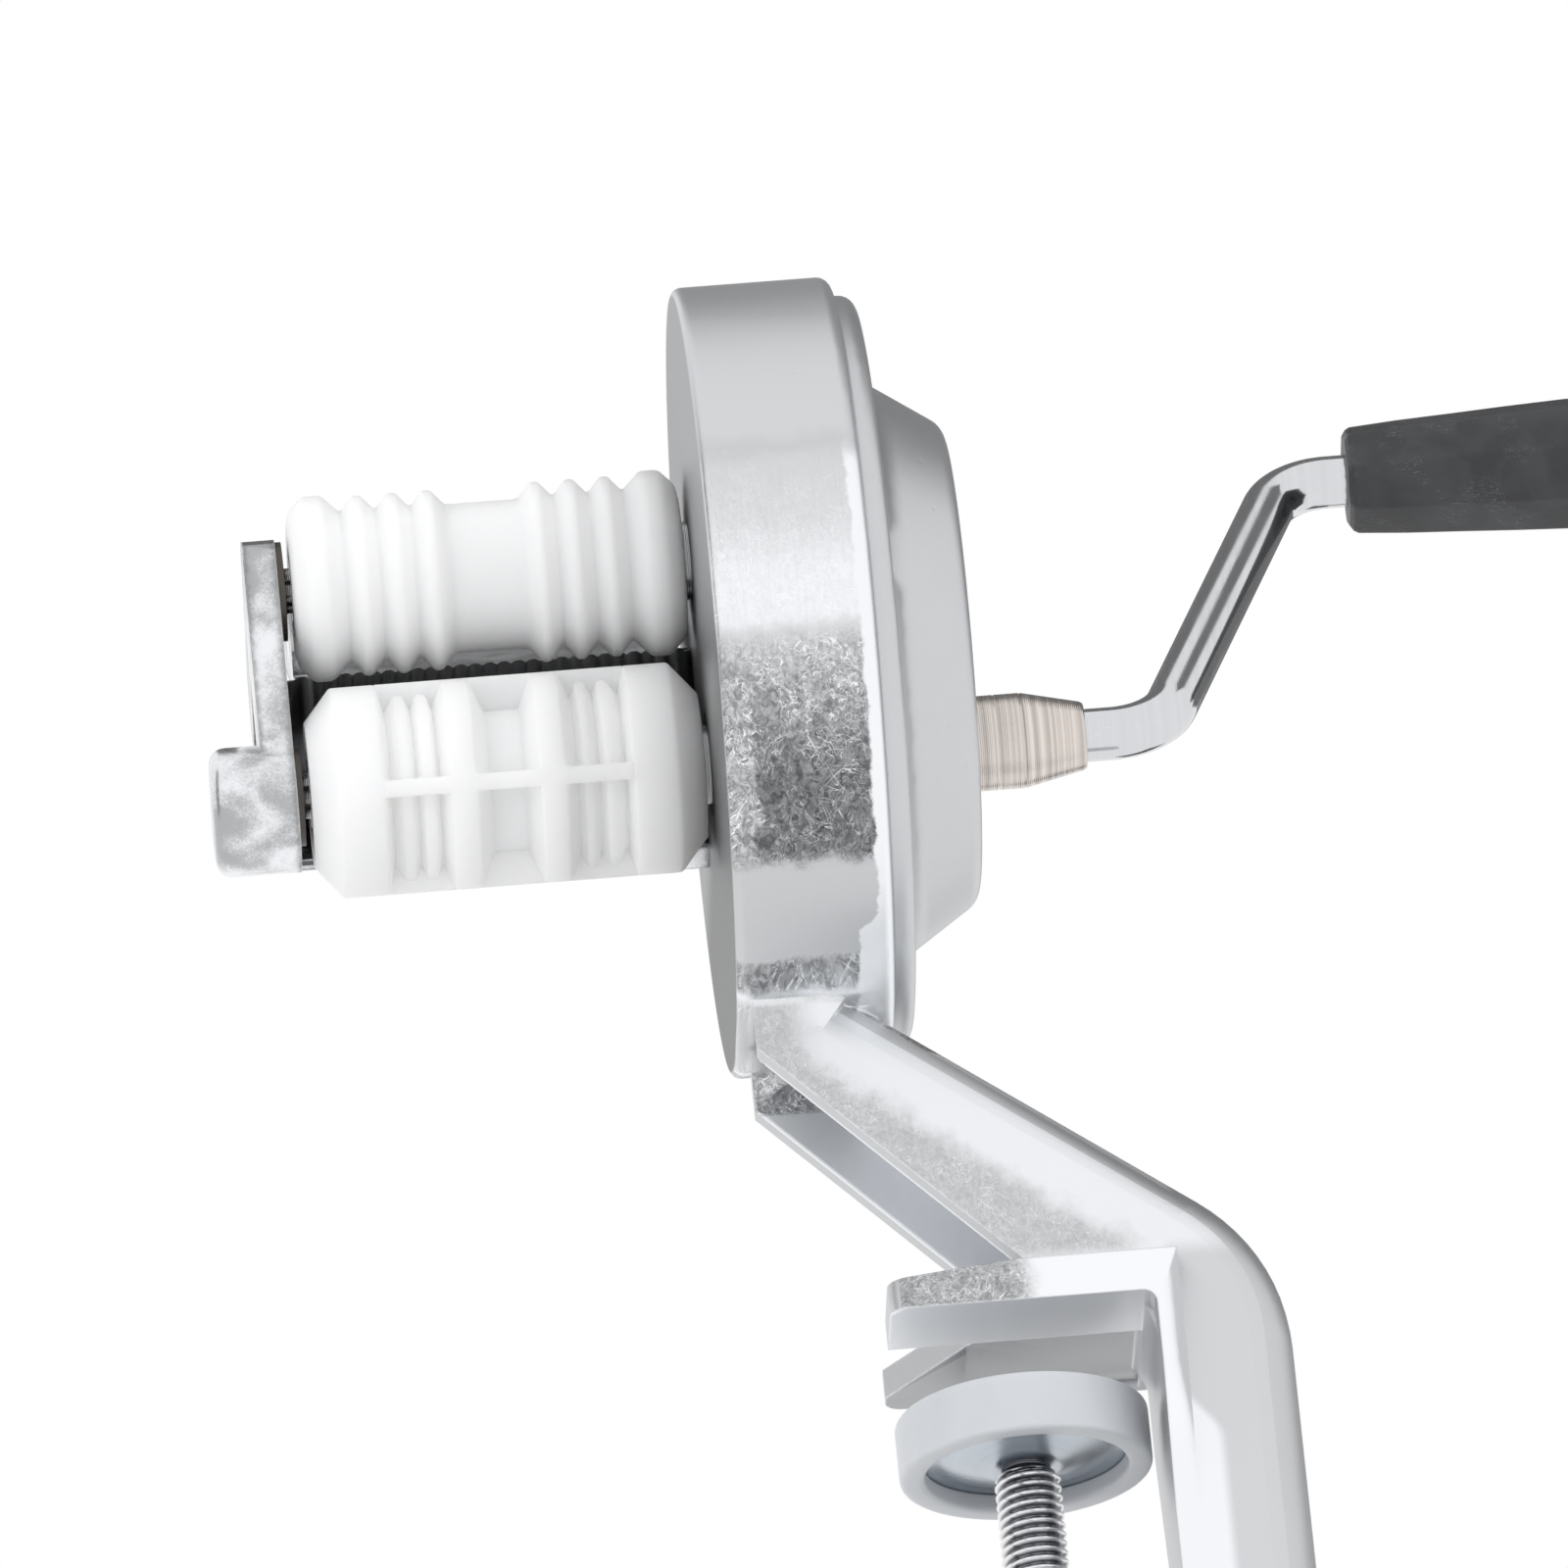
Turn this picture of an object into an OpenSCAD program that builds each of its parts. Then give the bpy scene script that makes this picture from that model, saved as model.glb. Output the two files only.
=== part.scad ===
// Hand cranked pasta shell maker with a table clamp.
// A cast frame carries a gear drum on a C clamp. Two plastic rollers stand out of the
// drum's face: a slow ridged one feeds the dough, and a fast bladed one cuts it and rolls
// each piece against a ribbed plate behind it.
// The origin is on the screw's axis, in the plane of the clamp jaw's underside. X runs
// along the rollers towards the crank, Z is up, and the dough tray is on the +Y side.

/* [Drum housing] */
// Outer diameter of the drum
drum_d = 120; // [116:1:128]
// Width of the drum's rim, from its face to its open rear
drum_w = 24; // [23:0.5:28]
// Wall of the rim
drum_wall = 5; // [4:0.5:6]
// Wall of the drum's face
face_wall = 4.5; // [3.5:0.5:6]
// Rounding of the face's edge
face_edge_r = 1.5; // [0.5:0.5:2.5]
// Rounding of the rim's rear edge
rear_edge_r = 2; // [1:0.5:2.5]
// Distance from the drum's face to the clamp screw's axis, along X
drum_reach = 37; // [34:1:40]
// Height of the drum's centre over the jaw's underside
drum_height = 112; // [108:1:120]
// Diameter of the bosses that hold the bushes in the face
bush_boss_d = 22; // [21:0.5:23]
// Depth of those bosses, from the drum's face
bush_boss_len = 9; // [8:0.5:10]
// Number of cover screws
cover_screw_count = 3; // [3:1:4]
// Diameter of a cover screw's post
post_d = 9; // [8.6:0.2:9.6]

/* [Arm] */
// Width of the arm and of the clamp's back
arm_w = 28; // [26:0.5:31]
// Rounding of the arm's rear edges
arm_edge_r = 9; // [6:0.5:10]
// Slope of the arm's rear line
rear_slope = 36.8699; // [34:0.0001:40]
// Drop of that line below the drum's centre, under the drum's rear edge
rear_drop = 61.6; // [61:0.2:64]
// Outer radius of the bend from the arm into the clamp's back
arm_bend_r = 30; // [26:1:34]
// Step from the drum's face back to the arm's front edges
arm_inset = 2.5; // [1:0.5:3]
// Slope of the arm's front edges
front_slope = 45.5; // [43:0.5:47]
// Drop below the drum's centre where those edges start
front_drop = 66; // [64:0.5:69]
// Side wall of the arm's channel
channel_wall = 4; // [3:0.5:5]
// Web behind the channel
web_t = 7; // [5:0.5:9]

/* [Clamp] */
// Length of the jaw in front of the screw's axis
jaw_front = 19; // [17:0.5:22]
// Width of the jaw
jaw_w = 41; // [39:0.5:46]
// Thickness of the jaw at its root
jaw_t = 6.5; // [5.5:0.5:8]
// Thickness of the jaw at its tip
jaw_tip_t = 4.6; // [3.5:0.2:5]
// Rounding of the jaw's front corners
jaw_corner_r = 3; // [1:0.5:4]
// Width of the jaw's near prong and rail
near_rail_w = 16.5; // [14:0.5:18]
// Depth of the notch between the prongs
notch_depth = 15; // [10:0.5:18]
// Width of the far prong's tip
far_tip_w = 5; // [4:0.5:8]
// Relief of the field between the rails
relief_depth = 1.2; // [0.6:0.2:1.8]
// Width of the lip along the relief's far and rear sides
lip_w = 1.6; // [1.2:0.2:3]
// Fillet between the near rail and the clamp's back
corner_fillet_r = 2; // [1:0.5:4]
// Distance from the screw's axis to the clamp's back
throat_depth = 20.7; // [20.2:0.1:24]
// Opening from the jaw down to the screw's boss
throat_h = 57; // [56:1:64]
// Thickness of the flange inside the clamp's back
flange_t = 3.7; // [3:0.1:5]
// Drop of the jaw at which the flange starts to narrow
flange_shoulder = 11; // [8:0.5:16]
// Drop of the jaw at which the flange is as narrow as the back
flange_waist = 33; // [28:0.5:40]
// Thickness of the clamp's back and foot
back_t = 20.5; // [19:0.5:22]
// Outer radius of the corner between the back and the foot
foot_bend_r = 24; // [22:1:28]

/* [Clamp screw] */
// Outer diameter of the screw's thread
screw_d = 10; // [8:0.5:10.5]
// Pitch of the thread, which is also the length of the taper at its start
screw_pitch = 1.5; // [1:0.25:2]
// Length of the threaded stem
stem_len = 70; // [68.5:0.5:76]
// Diameter of the neck that turns in the dish
neck_d = 7; // [5:0.5:7.5]
// Diameter of the screw's head
head_d = 14; // [13:0.5:16]
// Length of the screw's head
head_len = 14; // [13:0.5:16]
// Diameter of the cross bar
bar_d = 6; // [5:0.5:6.5]
// Length of the cross bar between its knobs
bar_len = 54; // [46:2:60]
// Diameter of the knobs on the bar's ends
knob_d = 9; // [8:0.5:9.5]
// Length of a knob
knob_len = 7; // [5:0.5:9]

/* [Clamp pad] */
// Diameter of the pad
pad_d = 38; // [34:0.5:38.5]
// Height of the pad's rim
pad_h = 9.2; // [8.8:0.2:10]
// Wall of the pad's rim
pad_rim = 3; // [2.5:0.5:4]
// Thickness of the pad's top
pad_top_t = 5.1; // [4.5:0.1:5.4]
// Gap between the jaw and the pad at rest
pad_gap = 10.8; // [9:0.2:12]
// Sheet of the steel dish
dish_t = 1.2; // [0.8:0.1:1.4]
// Height of the dish's dome, which bulges towards the screw
dome_h = 2.1; // [1.8:0.1:2.4]

/* [Gear cover] */
// Distance from the drum's edge in to the cover's edge
cover_inset = 3; // [2.4:0.2:3.4]
// Thickness of the cover's flange
cover_flange_t = 3.5; // [3:0.5:4.5]
// Rounding of the flange's edge
cover_edge_r = 2.4; // [1:0.2:2.4]
// Diameter of the cone at the flange
cone_base_d = 88; // [84:1:90]
// Diameter of the cone at its top
cone_top_d = 72; // [64:1:76]
// Height of the cone
cone_h = 12; // [10:0.5:13]
// Rounding of the cone's shoulder
cone_edge_r = 4; // [2:0.5:5]
// Wall of the cover
cover_wall = 2.6; // [2:0.2:3]
// Hole that the crank's shaft comes out of
cover_hole_d = 14.6; // [14.2:0.2:15.4]

/* [Rollers] */
// Length of both rollers
roller_len = 59.5; // [58:0.5:66]
// Gap between the drum's face and the rollers
roller_gap = 1; // [0.5:0.25:2]
// Height of the feed roller's axis over the drum's centre
feed_axis_z = 20.5; // [19:0.5:21.5]
// Distance between the two rollers' axes
roller_centres = 33.8; // [33:0.1:34.4]
// Diameter of the feed roller's end faces
feed_face_d = 20; // [18:0.5:22]
// Core diameter of the feed roller
feed_core_d = 22.6; // [22.2:0.2:24]
// Diameter over the feed roller's ridges
feed_ridge_d = 27.4; // [26:0.2:28]
// Diameter of the feed roller's end flanges
feed_flange_d = 28.2; // [27:0.2:29]
// Length of an end flange, up to its first valley
feed_flange_len = 8.3; // [7.5:0.1:9]
// Distance between two ridges
ridge_pitch = 5.3; // [5:0.1:5.6]
// Ridges on each side of the feed roller
ridge_count = 3; // [2:1:3]
// Outer diameter of the forming roller
forming_d = 31.8; // [30:0.2:32.6]
// Diameter of the forming roller's end faces
forming_face_d = 22; // [20:0.5:24]
// Length of the forming roller's end lands
end_land = 11; // [9:0.5:11.5]
// Length of each ribbed field on the forming roller
rib_field = 10; // [9:0.5:10.5]
// Length of the smooth groove in the middle
groove_len = 9.5; // [8:0.5:11]
// Ribs in each ribbed field
field_ribs = 2; // [2:1:3]
// Diameter over the ribs in a field
field_rib_d = 28; // [27:0.2:29.4]
// Diameter of the valleys between those ribs
field_valley_d = 23.4; // [22.6:0.2:25]
// Diameter at the bottom of the smooth groove
groove_d = 21.4; // [20:0.2:23.4]
// Number of blades along the forming roller
blade_count = 4; // [3:1:6]
// Width of a blade at its edge
blade_w = 2.6; // [2:0.2:3.4]

/* [Roller frame] */
// Thickness of the frame's outer arm
end_arm_t = 5; // [4.5:0.5:7]
// Gap between the rollers and the outer arm
end_gap = 2; // [1.8:0.1:3]
// Radius of the arm round the feed roller's journal
feed_eye_r = 8; // [7.6:0.2:9]
// Radius of the boss round the forming roller's journal
forming_eye_r = 9.8; // [9:0.2:11]
// Half width of the struts from the eyes to the ribbed plate
strut_r = 7; // [6:0.2:7.4]
// How far that boss stands out of the arm
forming_eye_out = 7.8; // [5:0.2:9]
// Drop of that boss's centre below the roller's axis
forming_eye_drop = 1.8; // [0:0.2:2]
// Rounding of the boss's outer edge
eye_edge_r = 2.5; // [1:0.5:3.5]
// Gap between the forming roller and the ribbed plate
plate_gap = 2; // [1.5:0.25:3]
// Thickness of the ribbed plate behind its ribs
plate_t = 3; // [2.5:0.25:4]
// Height of the plate's ribs
plate_rib_h = 1; // [0.6:0.1:1.4]
// Number of ribs across the plate
plate_ribs = 27; // [20:1:30]
// Sweep of the plate below the forming roller's axis
plate_sweep = 8; // [5:1:30]
// Height of the tray's lip over the drum's centre
tray_lip_z = 14; // [12:0.5:15]
// Slope of the dough tray
tray_slope = 30; // [25:1:33]
// Length of the dough tray
tray_len = 54; // [46:1:62]
// Thickness of the tray's floor and sides
tray_t = 3; // [2.5:0.25:4]
// Height of the tray's sides over its floor
tray_side_h = 12; // [11:0.5:14]
// Thickness of the foot that is screwed to the drum
foot_t = 6; // [5.5:0.5:8]

/* [Gears] */
// Gear module
gear_module = 1.5; // [1.4:0.02:1.54]
// Teeth of the pinion on the crank's shaft
pinion_teeth = 12; // [12:1:13]
// Teeth of the idler
idler_teeth = 12; // [12:1:14]
// Teeth of the feed roller's gear
feed_teeth = 24; // [23:1:25]
// Width of the gears
gear_w = 8; // [6:0.5:8.5]
// Play taken off each tooth at the pitch circle
backlash = 0.12; // [0.08:0.02:0.2]

/* [Shafts] */
// Journals in the drum's face
face_journal_d = 12; // [11.6:0.1:12.2]
// Journals at the shafts' outer ends
end_journal_d = 7; // [6:0.5:7.5]
// Hexagon that drives the rollers, across its flats
roller_hex_w = 9.5; // [8.6:0.1:9.7]
// Hexagon that drives the gears, across its flats
gear_hex_w = 8; // [7.8:0.1:8.4]
// Round end of the crank's shaft, and the idler's pin
stub_d = 7.6; // [7:0.1:7.7]

/* [Crank] */
// Diameter of the crank's rod
rod_d = 8; // [7:0.2:8.4]
// Length of the collar that holds the rod
collar_len = 18.2; // [17:0.4:21]
// Diameter of the collar outside the cover
collar_d = 14.4; // [13.6:0.2:16]
// Diameter of the collar's root, which stands in the cover's hole
collar_root_d = 13.3; // [12.6:0.1:14]
// Diameter of the collar where its tip's chamfer starts
collar_neck_d = 10.4; // [10.2:0.2:12]
// Diameter of the collar's outer end
collar_tip_d = 9.8; // [9.4:0.2:10]
// Distance between the crank's axis and the grip's
crank_r = 70; // [56:1:90]
// Distance from the cover to the rod's first bend
bend_out = 29; // [27:0.2:34]
// Distance along X between the rod's two bends
bend_run = 25.2; // [18:0.2:36]
// Radius of the bends at the rod's centre
rod_bend_r = 10.5; // [9:0.5:13]
// Lean of the crank's arm from upright towards the tray, at rest
crank_lean = 36; // [0:1:60]

/* [Grip] */
// Length of the grip
grip_len = 86; // [70:1:100]
// Straight rod between the second bend and the grip
grip_gap = 3.2; // [1:0.2:6]
// Width of the grip at its start
grip_start_d = 17; // [16:0.2:18.4]
// Width of the grip at its thickest
grip_max_d = 21.4; // [19:0.2:25]
// Width of the grip at its end
grip_end_d = 18; // [17:0.5:21]

/* [Hidden] */
$fn = 72;

// Overrun of every cut
over = 1;
// Radial play of a shaft that turns in its seat
run_fit = 0.05;
// Radial play of a piece that is pushed into its seat
seat_fit = 0.05;
// The rod's bends are this much fuller than the straight runs that enter them
bend_swell = 0.04;
// How far a straight run enters a bend
bend_overlap = 0.2;
// Gap between two faces that pass each other
face_gap = 0.3;
// Steps of an arc in an outline
arc_steps = 6;
// Faces of the drum's and cover's round outlines
round_fn = 120;

// Points of an arc about c, from angle a to angle b
function arc(c, r, a, b, n = arc_steps) =
    [for (i = [0:n]) c + r * [cos(a + (b - a) * i / n), sin(a + (b - a) * i / n)]];

// Unit vector at angle a
function unit(a) = [cos(a), sin(a)];

cover_d = drum_d - 2 * cover_inset;

// Distances along X from the drum's face
roller_end_x = -roller_gap;
roller_start_x = roller_end_x - roller_len;
arm_in_x = roller_start_x - end_gap;
arm_out_x = arm_in_x - end_arm_t;
eye_out_x = arm_out_x - forming_eye_out;
cover_face_x = drum_w + cover_flange_t;
cover_top_x = cover_face_x + cone_h;
rim_in_r = drum_d / 2 - drum_wall;
forming_axis_z = feed_axis_z - roller_centres;
// How far a cover screw's post reaches into the rim
post_bite = 0.5;
post_r = rim_in_r - post_d / 2 + post_bite;

// Bushes: plain tubes with a flange
bush_wall = 2;
bush_flange_t = 1.5;
bush_flange_w = 2;
face_bush_d = face_journal_d + 2 * (run_fit + bush_wall);
end_bush_d = end_journal_d + 2 * (run_fit + bush_wall);
cover_bush_d = stub_d + 2 * (run_fit + bush_wall);
cover_bush_len = 7;
cover_hole_depth = 1.2;
end_wall = 1.5;
end_seat = end_arm_t - end_wall;

// Gears and what keeps them on their shafts
gear_x = bush_boss_len + bush_flange_t + face_gap;
gear_end_x = gear_x + gear_w;
clip_x = gear_end_x;
clip_t = 1;
clip_w = 2.2;
clip_groove = 0.6;
shaft_tail = 1.4;
hub_end_x = clip_x + clip_t + shaft_tail;
idler_boss_d = 15;
pin_hold = 2.5;
pin_seat = gear_x - face_gap - pin_hold;
addendum_share = 0.8;
dedendum_share = 1;
pressure_angle = 20;

// Screws
screw_shank_d = 4;
screw_head_d = 7;
screw_head_h = 2.4;
cover_screw_len = 14;
frame_screw_len = 11;
hex_key = 2.5;
screw_hold = frame_screw_len - face_wall - screw_head_h;

// Runs its children, drawn along Z, along X
module along_x(x = 0) translate([x, 0, 0]) rotate([0, 90, 0]) children();

// Places its children in the drum's frame: X from its face, Y and Z from its centre
module in_drum() translate([-drum_reach, 0, drum_height]) children();

// Places its children on the feed roller's axis
module on_feed_axis() in_drum() translate([0, 0, feed_axis_z]) children();

// Places its children on the forming roller's and the crank's axis
module on_forming_axis() in_drum() translate([0, 0, forming_axis_z]) children();

// A side view drawn in X and Z, as a plate of width w about the middle plane
module side_plate(w) rotate([90, 0, 0]) linear_extrude(w, center = true) children();

// An end view drawn in Y and Z, as a plate from x to x + t
module end_plate(x, t) translate([x, 0, 0]) rotate([90, 0, 90]) linear_extrude(t) children();

// A plane bar with round ends from p to q
module link(p, q, r) {
    a = atan2(q.y - p.y, q.x - p.x);
    polygon(concat(arc(p, r, a + 90, a + 270, 2 * arc_steps),
        arc(q, r, a - 90, a + 90, 2 * arc_steps)));
}

// A rod along X from x to x + len
module rod_x(x, len, d) along_x(x) cylinder(d = d, h = len);

// A hexagonal rod along X from x to x + len, across its flats
module hex_x(x, len, flats) along_x(x) cylinder(d = flats / cos(30), h = len, $fn = 6);

// A tube along X from x to x + len
module tube_x(x, len, d, bore) difference() {
    rod_x(x, len, d);
    rod_x(x - over, len + 2 * over, bore);
}

// Body casting: drum, arm and clamp

rear_dir = unit(-rear_slope);
rear_in = unit(-90 - rear_slope);
back_x = throat_depth + back_t;
bend_turn = 90 - rear_slope;
bend_tangent = arm_bend_r * tan(bend_turn / 2);
// The rear line starts inside the drum's rim, just clear of the rim's bore
root_run = (rear_drop - rim_in_r - drum_wall / 4) / sin(rear_slope);
rear_start = [drum_w - drum_reach, drum_height - rear_drop] - root_run * rear_dir;
rear_run = (back_x - rear_start.x) / rear_dir.x;
arm_run = rear_run - bend_tangent;
bend_start = rear_start + arm_run * rear_dir;
back_top_z = rear_start.y + rear_run * rear_dir.y - bend_tangent;
foot_bottom_z = -throat_h - back_t;
foot_corner = [back_x - foot_bend_r, foot_bottom_z + foot_bend_r];
front_z = drum_height - front_drop;
roof_z = drum_height - drum_d / 2;

// The rim and the face, open to the rear
module drum_shell() in_drum() along_x() rotate_extrude($fn = round_fn) {
    r = drum_d / 2;
    polygon(concat([[0, 0]],
        arc([r - face_edge_r, face_edge_r], face_edge_r, -90, 0),
        arc([r - rear_edge_r, drum_w - rear_edge_r], rear_edge_r, 0, 90),
        [[rim_in_r, drum_w], [rim_in_r, face_wall], [0, face_wall]]));
}

// Places its children where the cover's screws stand
module at_cover_screws() in_drum() for (i = [0:cover_screw_count - 1])
    rotate([90 + 360 * i / cover_screw_count, 0, 0]) translate([0, 0, post_r]) children();

// Section of the arm and of the clamp's back: its depth from the rear along X, its width along Y
module back_section(depth) {
    half = arm_w / 2;
    r = arm_edge_r;
    polygon(concat([[depth, -half]], arc([r, r - half], r, -90, -180),
        arc([r, half - r], r, 180, 90), [[depth, half]]));
}

// A straight length of that section from p along d
module back_run(p, d, len) translate([p.x, 0, p.y]) rotate([0, atan2(d.x, d.y), 0])
    linear_extrude(len) back_section(back_t);

// A bend of that section about c
module back_bend(c, r, a, sweep) translate([c.x, 0, c.y]) rotate([90, 0, 0]) rotate([0, 0, a])
    rotate_extrude(angle = sweep) translate([r, 0]) mirror([1, 0]) back_section(back_t);

// The arm's sides and rear line, the clamp's back and its foot
module arm_and_back() {
    // The rear run, kept behind the front edges
    intersection() {
        back_run(rear_start, rear_dir, arm_run);
        side_plate(arm_w + 2 * over) polygon(between_lines(-over, -over / 2,
            roof_z + drum_wall, false));
    }
    back_bend(bend_start + arm_bend_r * rear_in, arm_bend_r, 0, bend_turn);
    back_run([back_x, back_top_z], unit(-90), back_top_z - foot_corner.y);
    back_bend(foot_corner, foot_bend_r, -90, 90);
    back_run([foot_corner.x, foot_bottom_z], unit(180), foot_corner.x);
    side_plate(arm_w) polygon(between_lines(arm_edge_r, 0, roof_z + drum_wall / 2, true));
}

// Outline from the front edges back to a line that lies depth inside the rear line. The
// front edges are moved out by cut, and it ends at the middle of the jaw's thickness. Its top
// is on that line, or up along the rear run's start face, so that it meets the rim there.
function between_lines(depth, cut, top, at_start) =
    let (inner = rear_start + depth * rear_in,
        last = bend_start + depth * rear_in,
        low = jaw_t / 2,
        front_x = arm_inset - drum_reach,
        foot_x = front_x + (front_z - low) / tan(front_slope),
        start = inner + over * rear_dir)
    concat([[front_x - cut, top], [front_x - cut, front_z - cut], [foot_x - cut, low],
        [last.x, low], last],
        at_start ? [start, [start.x + (top - start.y) * tan(rear_slope), top]]
            : [[inner.x + (inner.y - top) / tan(rear_slope), top]]);

// The hollow between the arm's walls, open to the front
module channel() intersection() {
    side_plate(arm_w - 2 * channel_wall) polygon(between_lines(web_t, over, roof_z, false));
    translate([0, 0, jaw_t]) side_plate(arm_w) translate([-drum_d / 2, 0])
        square([drum_d, roof_z - jaw_t]);
}

// The jaw seen from above: two prongs beside a slanted notch
module jaw_plan() {
    half = jaw_w / 2;
    r = jaw_corner_r;
    rail_y = near_rail_w - half;
    difference() {
        union() {
            translate([r - jaw_front, -half]) square([jaw_front - r + throat_depth + flange_t, jaw_w]);
            translate([-jaw_front, r - half]) square([jaw_front, jaw_w - 2 * r]);
            for (s = [-1, 1]) translate([r - jaw_front, s * (half - r)]) circle(r);
        }
        polygon([[-jaw_front - over, rail_y], [notch_depth - jaw_front, rail_y],
            [-jaw_front, half - far_tip_w], [-jaw_front - over, half - far_tip_w]]);
    }
}

module jaw() {
    rail_y = near_rail_w - jaw_w / 2;
    relief_x = notch_depth - jaw_front - 2 * lip_w;
    difference() {
        linear_extrude(jaw_t) jaw_plan();
        // The top slopes down to the tip
        side_plate(jaw_w + 2 * over) polygon([[-jaw_front - over, jaw_tip_t],
            [-jaw_front, jaw_tip_t], [0, jaw_t], [0, jaw_t + over],
            [-jaw_front - over, jaw_t + over]]);
        // The inner field is relieved, so that the rails bear on the table
        translate([relief_x, rail_y, -over]) cube([throat_depth - lip_w - relief_x,
            jaw_w - near_rail_w - lip_w, relief_depth + over]);
    }
    // Fillet of the near rail
    translate([throat_depth, -jaw_w / 2, 0]) rotate([-90, 0, 0]) linear_extrude(near_rail_w)
        polygon(concat([[flange_t / 2, -jaw_t / 2]], [[flange_t / 2, corner_fillet_r]],
            arc([-corner_fillet_r, corner_fillet_r], corner_fillet_r, 0, -90),
            [[-corner_fillet_r, -jaw_t / 2]]));
}

// The flange inside the clamp's back: as wide as the jaw at its top, then as the back
module back_flange() end_plate(throat_depth, flange_t) {
    half = jaw_w / 2;
    low = -throat_h - back_t / 2;
    polygon([[-half, jaw_t], [half, jaw_t], [half, -flange_shoulder], [arm_w / 2, -flange_waist],
        [arm_w / 2, low], [-arm_w / 2, low], [-arm_w / 2, -flange_waist],
        [-half, -flange_shoulder]]);
}

module body_casting() color([0.80, 0.81, 0.82]) difference() {
    union() {
        difference() {
            union() {
                arm_and_back();
                jaw();
                back_flange();
            }
            channel();
        }
        drum_shell();
        on_feed_axis() rod_x(0, bush_boss_len, bush_boss_d);
        on_forming_axis() rod_x(0, bush_boss_len, bush_boss_d);
        at_idler() rod_x(0, gear_x - face_gap, idler_boss_d);
        at_cover_screws() rod_x(0, drum_w - face_gap, post_d);
        translate([0, 0, foot_bottom_z]) cylinder(d = arm_w, h = back_t);
    }
    on_feed_axis() rod_x(-over, bush_boss_len + 2 * over, face_bush_d + 2 * seat_fit);
    on_forming_axis() rod_x(-over, bush_boss_len + 2 * over, face_bush_d + 2 * seat_fit);
    at_idler() rod_x(gear_x - face_gap - pin_seat, pin_seat + over, stub_d + 2 * seat_fit);
    at_cover_screws() rod_x(drum_w - cover_screw_len, cover_screw_len + over,
        screw_shank_d + 2 * seat_fit);
    at_frame_screws() rod_x(-over, face_wall + 2 * over, screw_shank_d + 2 * seat_fit);
    translate([0, 0, foot_bottom_z - over]) cylinder(d = screw_d + 2 * run_fit, h = back_t + 2 * over);
}

// Gear cover and its screws

// Smallest rounding inside the cover
least_r = 0.5;

// Half section of the cover: its outside moved in by wall
function cover_line(wall) =
    let (slope = atan2(cone_h, (cone_base_d - cone_top_d) / 2),
        base = [cone_base_d / 2 - wall * tan(slope / 2), cover_face_x - wall],
        top = [cone_top_d / 2 - wall * tan(slope / 2), cover_top_x - wall],
        r = max(cone_edge_r - wall, least_r),
        t = r * tan(slope / 2))
    concat([base], arc([top.x - t, top.y - r], r, 90 - slope, 90), [[0, top.y]]);

module gear_cover() color([0.80, 0.81, 0.82]) difference() {
    boss_d = cover_bush_d + 2 * cover_wall;
    bush_x = cover_top_x - cover_hole_depth - cover_bush_len;
    union() {
        in_drum() along_x() rotate_extrude($fn = round_fn) difference() {
            polygon(concat([[0, drum_w], [cover_d / 2, drum_w]],
                arc([cover_d / 2 - cover_edge_r, cover_face_x - cover_edge_r],
                    cover_edge_r, 0, 90), cover_line(0)));
            polygon(concat([[0, drum_w - over], [cone_base_d / 2 - cover_wall, drum_w - over]],
                cover_line(cover_wall)));
        }
        on_forming_axis() rod_x(bush_x, cover_top_x - cover_wall / 2 - bush_x, boss_d);
    }
    on_forming_axis() rod_x(bush_x - over, cover_bush_len + 2 * over, cover_bush_d + 2 * seat_fit);
    on_forming_axis() rod_x(cover_top_x - cover_hole_depth, cover_hole_depth + over, cover_hole_d);
    at_cover_screws() rod_x(drum_w - over, cover_flange_t + 2 * over, screw_shank_d + 2 * seat_fit);
    at_cover_screws() rod_x(cover_face_x - screw_head_h, screw_head_h + over,
        screw_head_d + 2 * seat_fit);
}

// A screw along X: the top of its head at x, its point towards -X
module machine_screw(x, len) difference() {
    union() {
        rod_x(x - screw_head_h, screw_head_h, screw_head_d);
        rod_x(x - len, len - screw_head_h / 2, screw_shank_d);
    }
    hex_x(x - screw_head_h / 2, screw_head_h, hex_key);
}

module cover_screws() color([0.72, 0.73, 0.75]) at_cover_screws()
    machine_screw(cover_face_x, cover_screw_len);

// Frame that holds the rollers' outer ends, the ribbed plate and the tray. The outlines below
// are end views in Y and Z from the drum's centre.

feed_axis = [0, feed_axis_z];
forming_axis = [0, forming_axis_z];
forming_eye_c = forming_axis - [0, forming_eye_drop];
plate_tip_r = forming_d / 2 + plate_gap;
plate_base_r = plate_tip_r + plate_rib_h;
plate_out_r = plate_base_r + plate_t;
tray_lip = [plate_base_r + plate_rib_h / 2, tray_lip_z];
tray_up = unit(tray_slope);
tray_out = unit(tray_slope + 90);
tray_near_gap = 2;
foot_pad_r = 5.5;
foot_stand = 2;
foot_r = plate_out_r + foot_stand;
foot_turns = [-2, 25];
foot_screws = [forming_axis + foot_r * unit(foot_turns[0]),
    forming_axis + foot_r * unit(foot_turns[1]),
    tray_lip + plate_out_r / 2 * tray_up - (tray_t + foot_pad_r / 2) * tray_out];

// Places its children on the screws that hold the frame
module at_frame_screws() in_drum() for (p = foot_screws) translate([0, p.x, p.y]) children();

// Flat top of a rib, from and to these shares of its pitch
rib_flat_shares = [0.3, 0.7];

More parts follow.
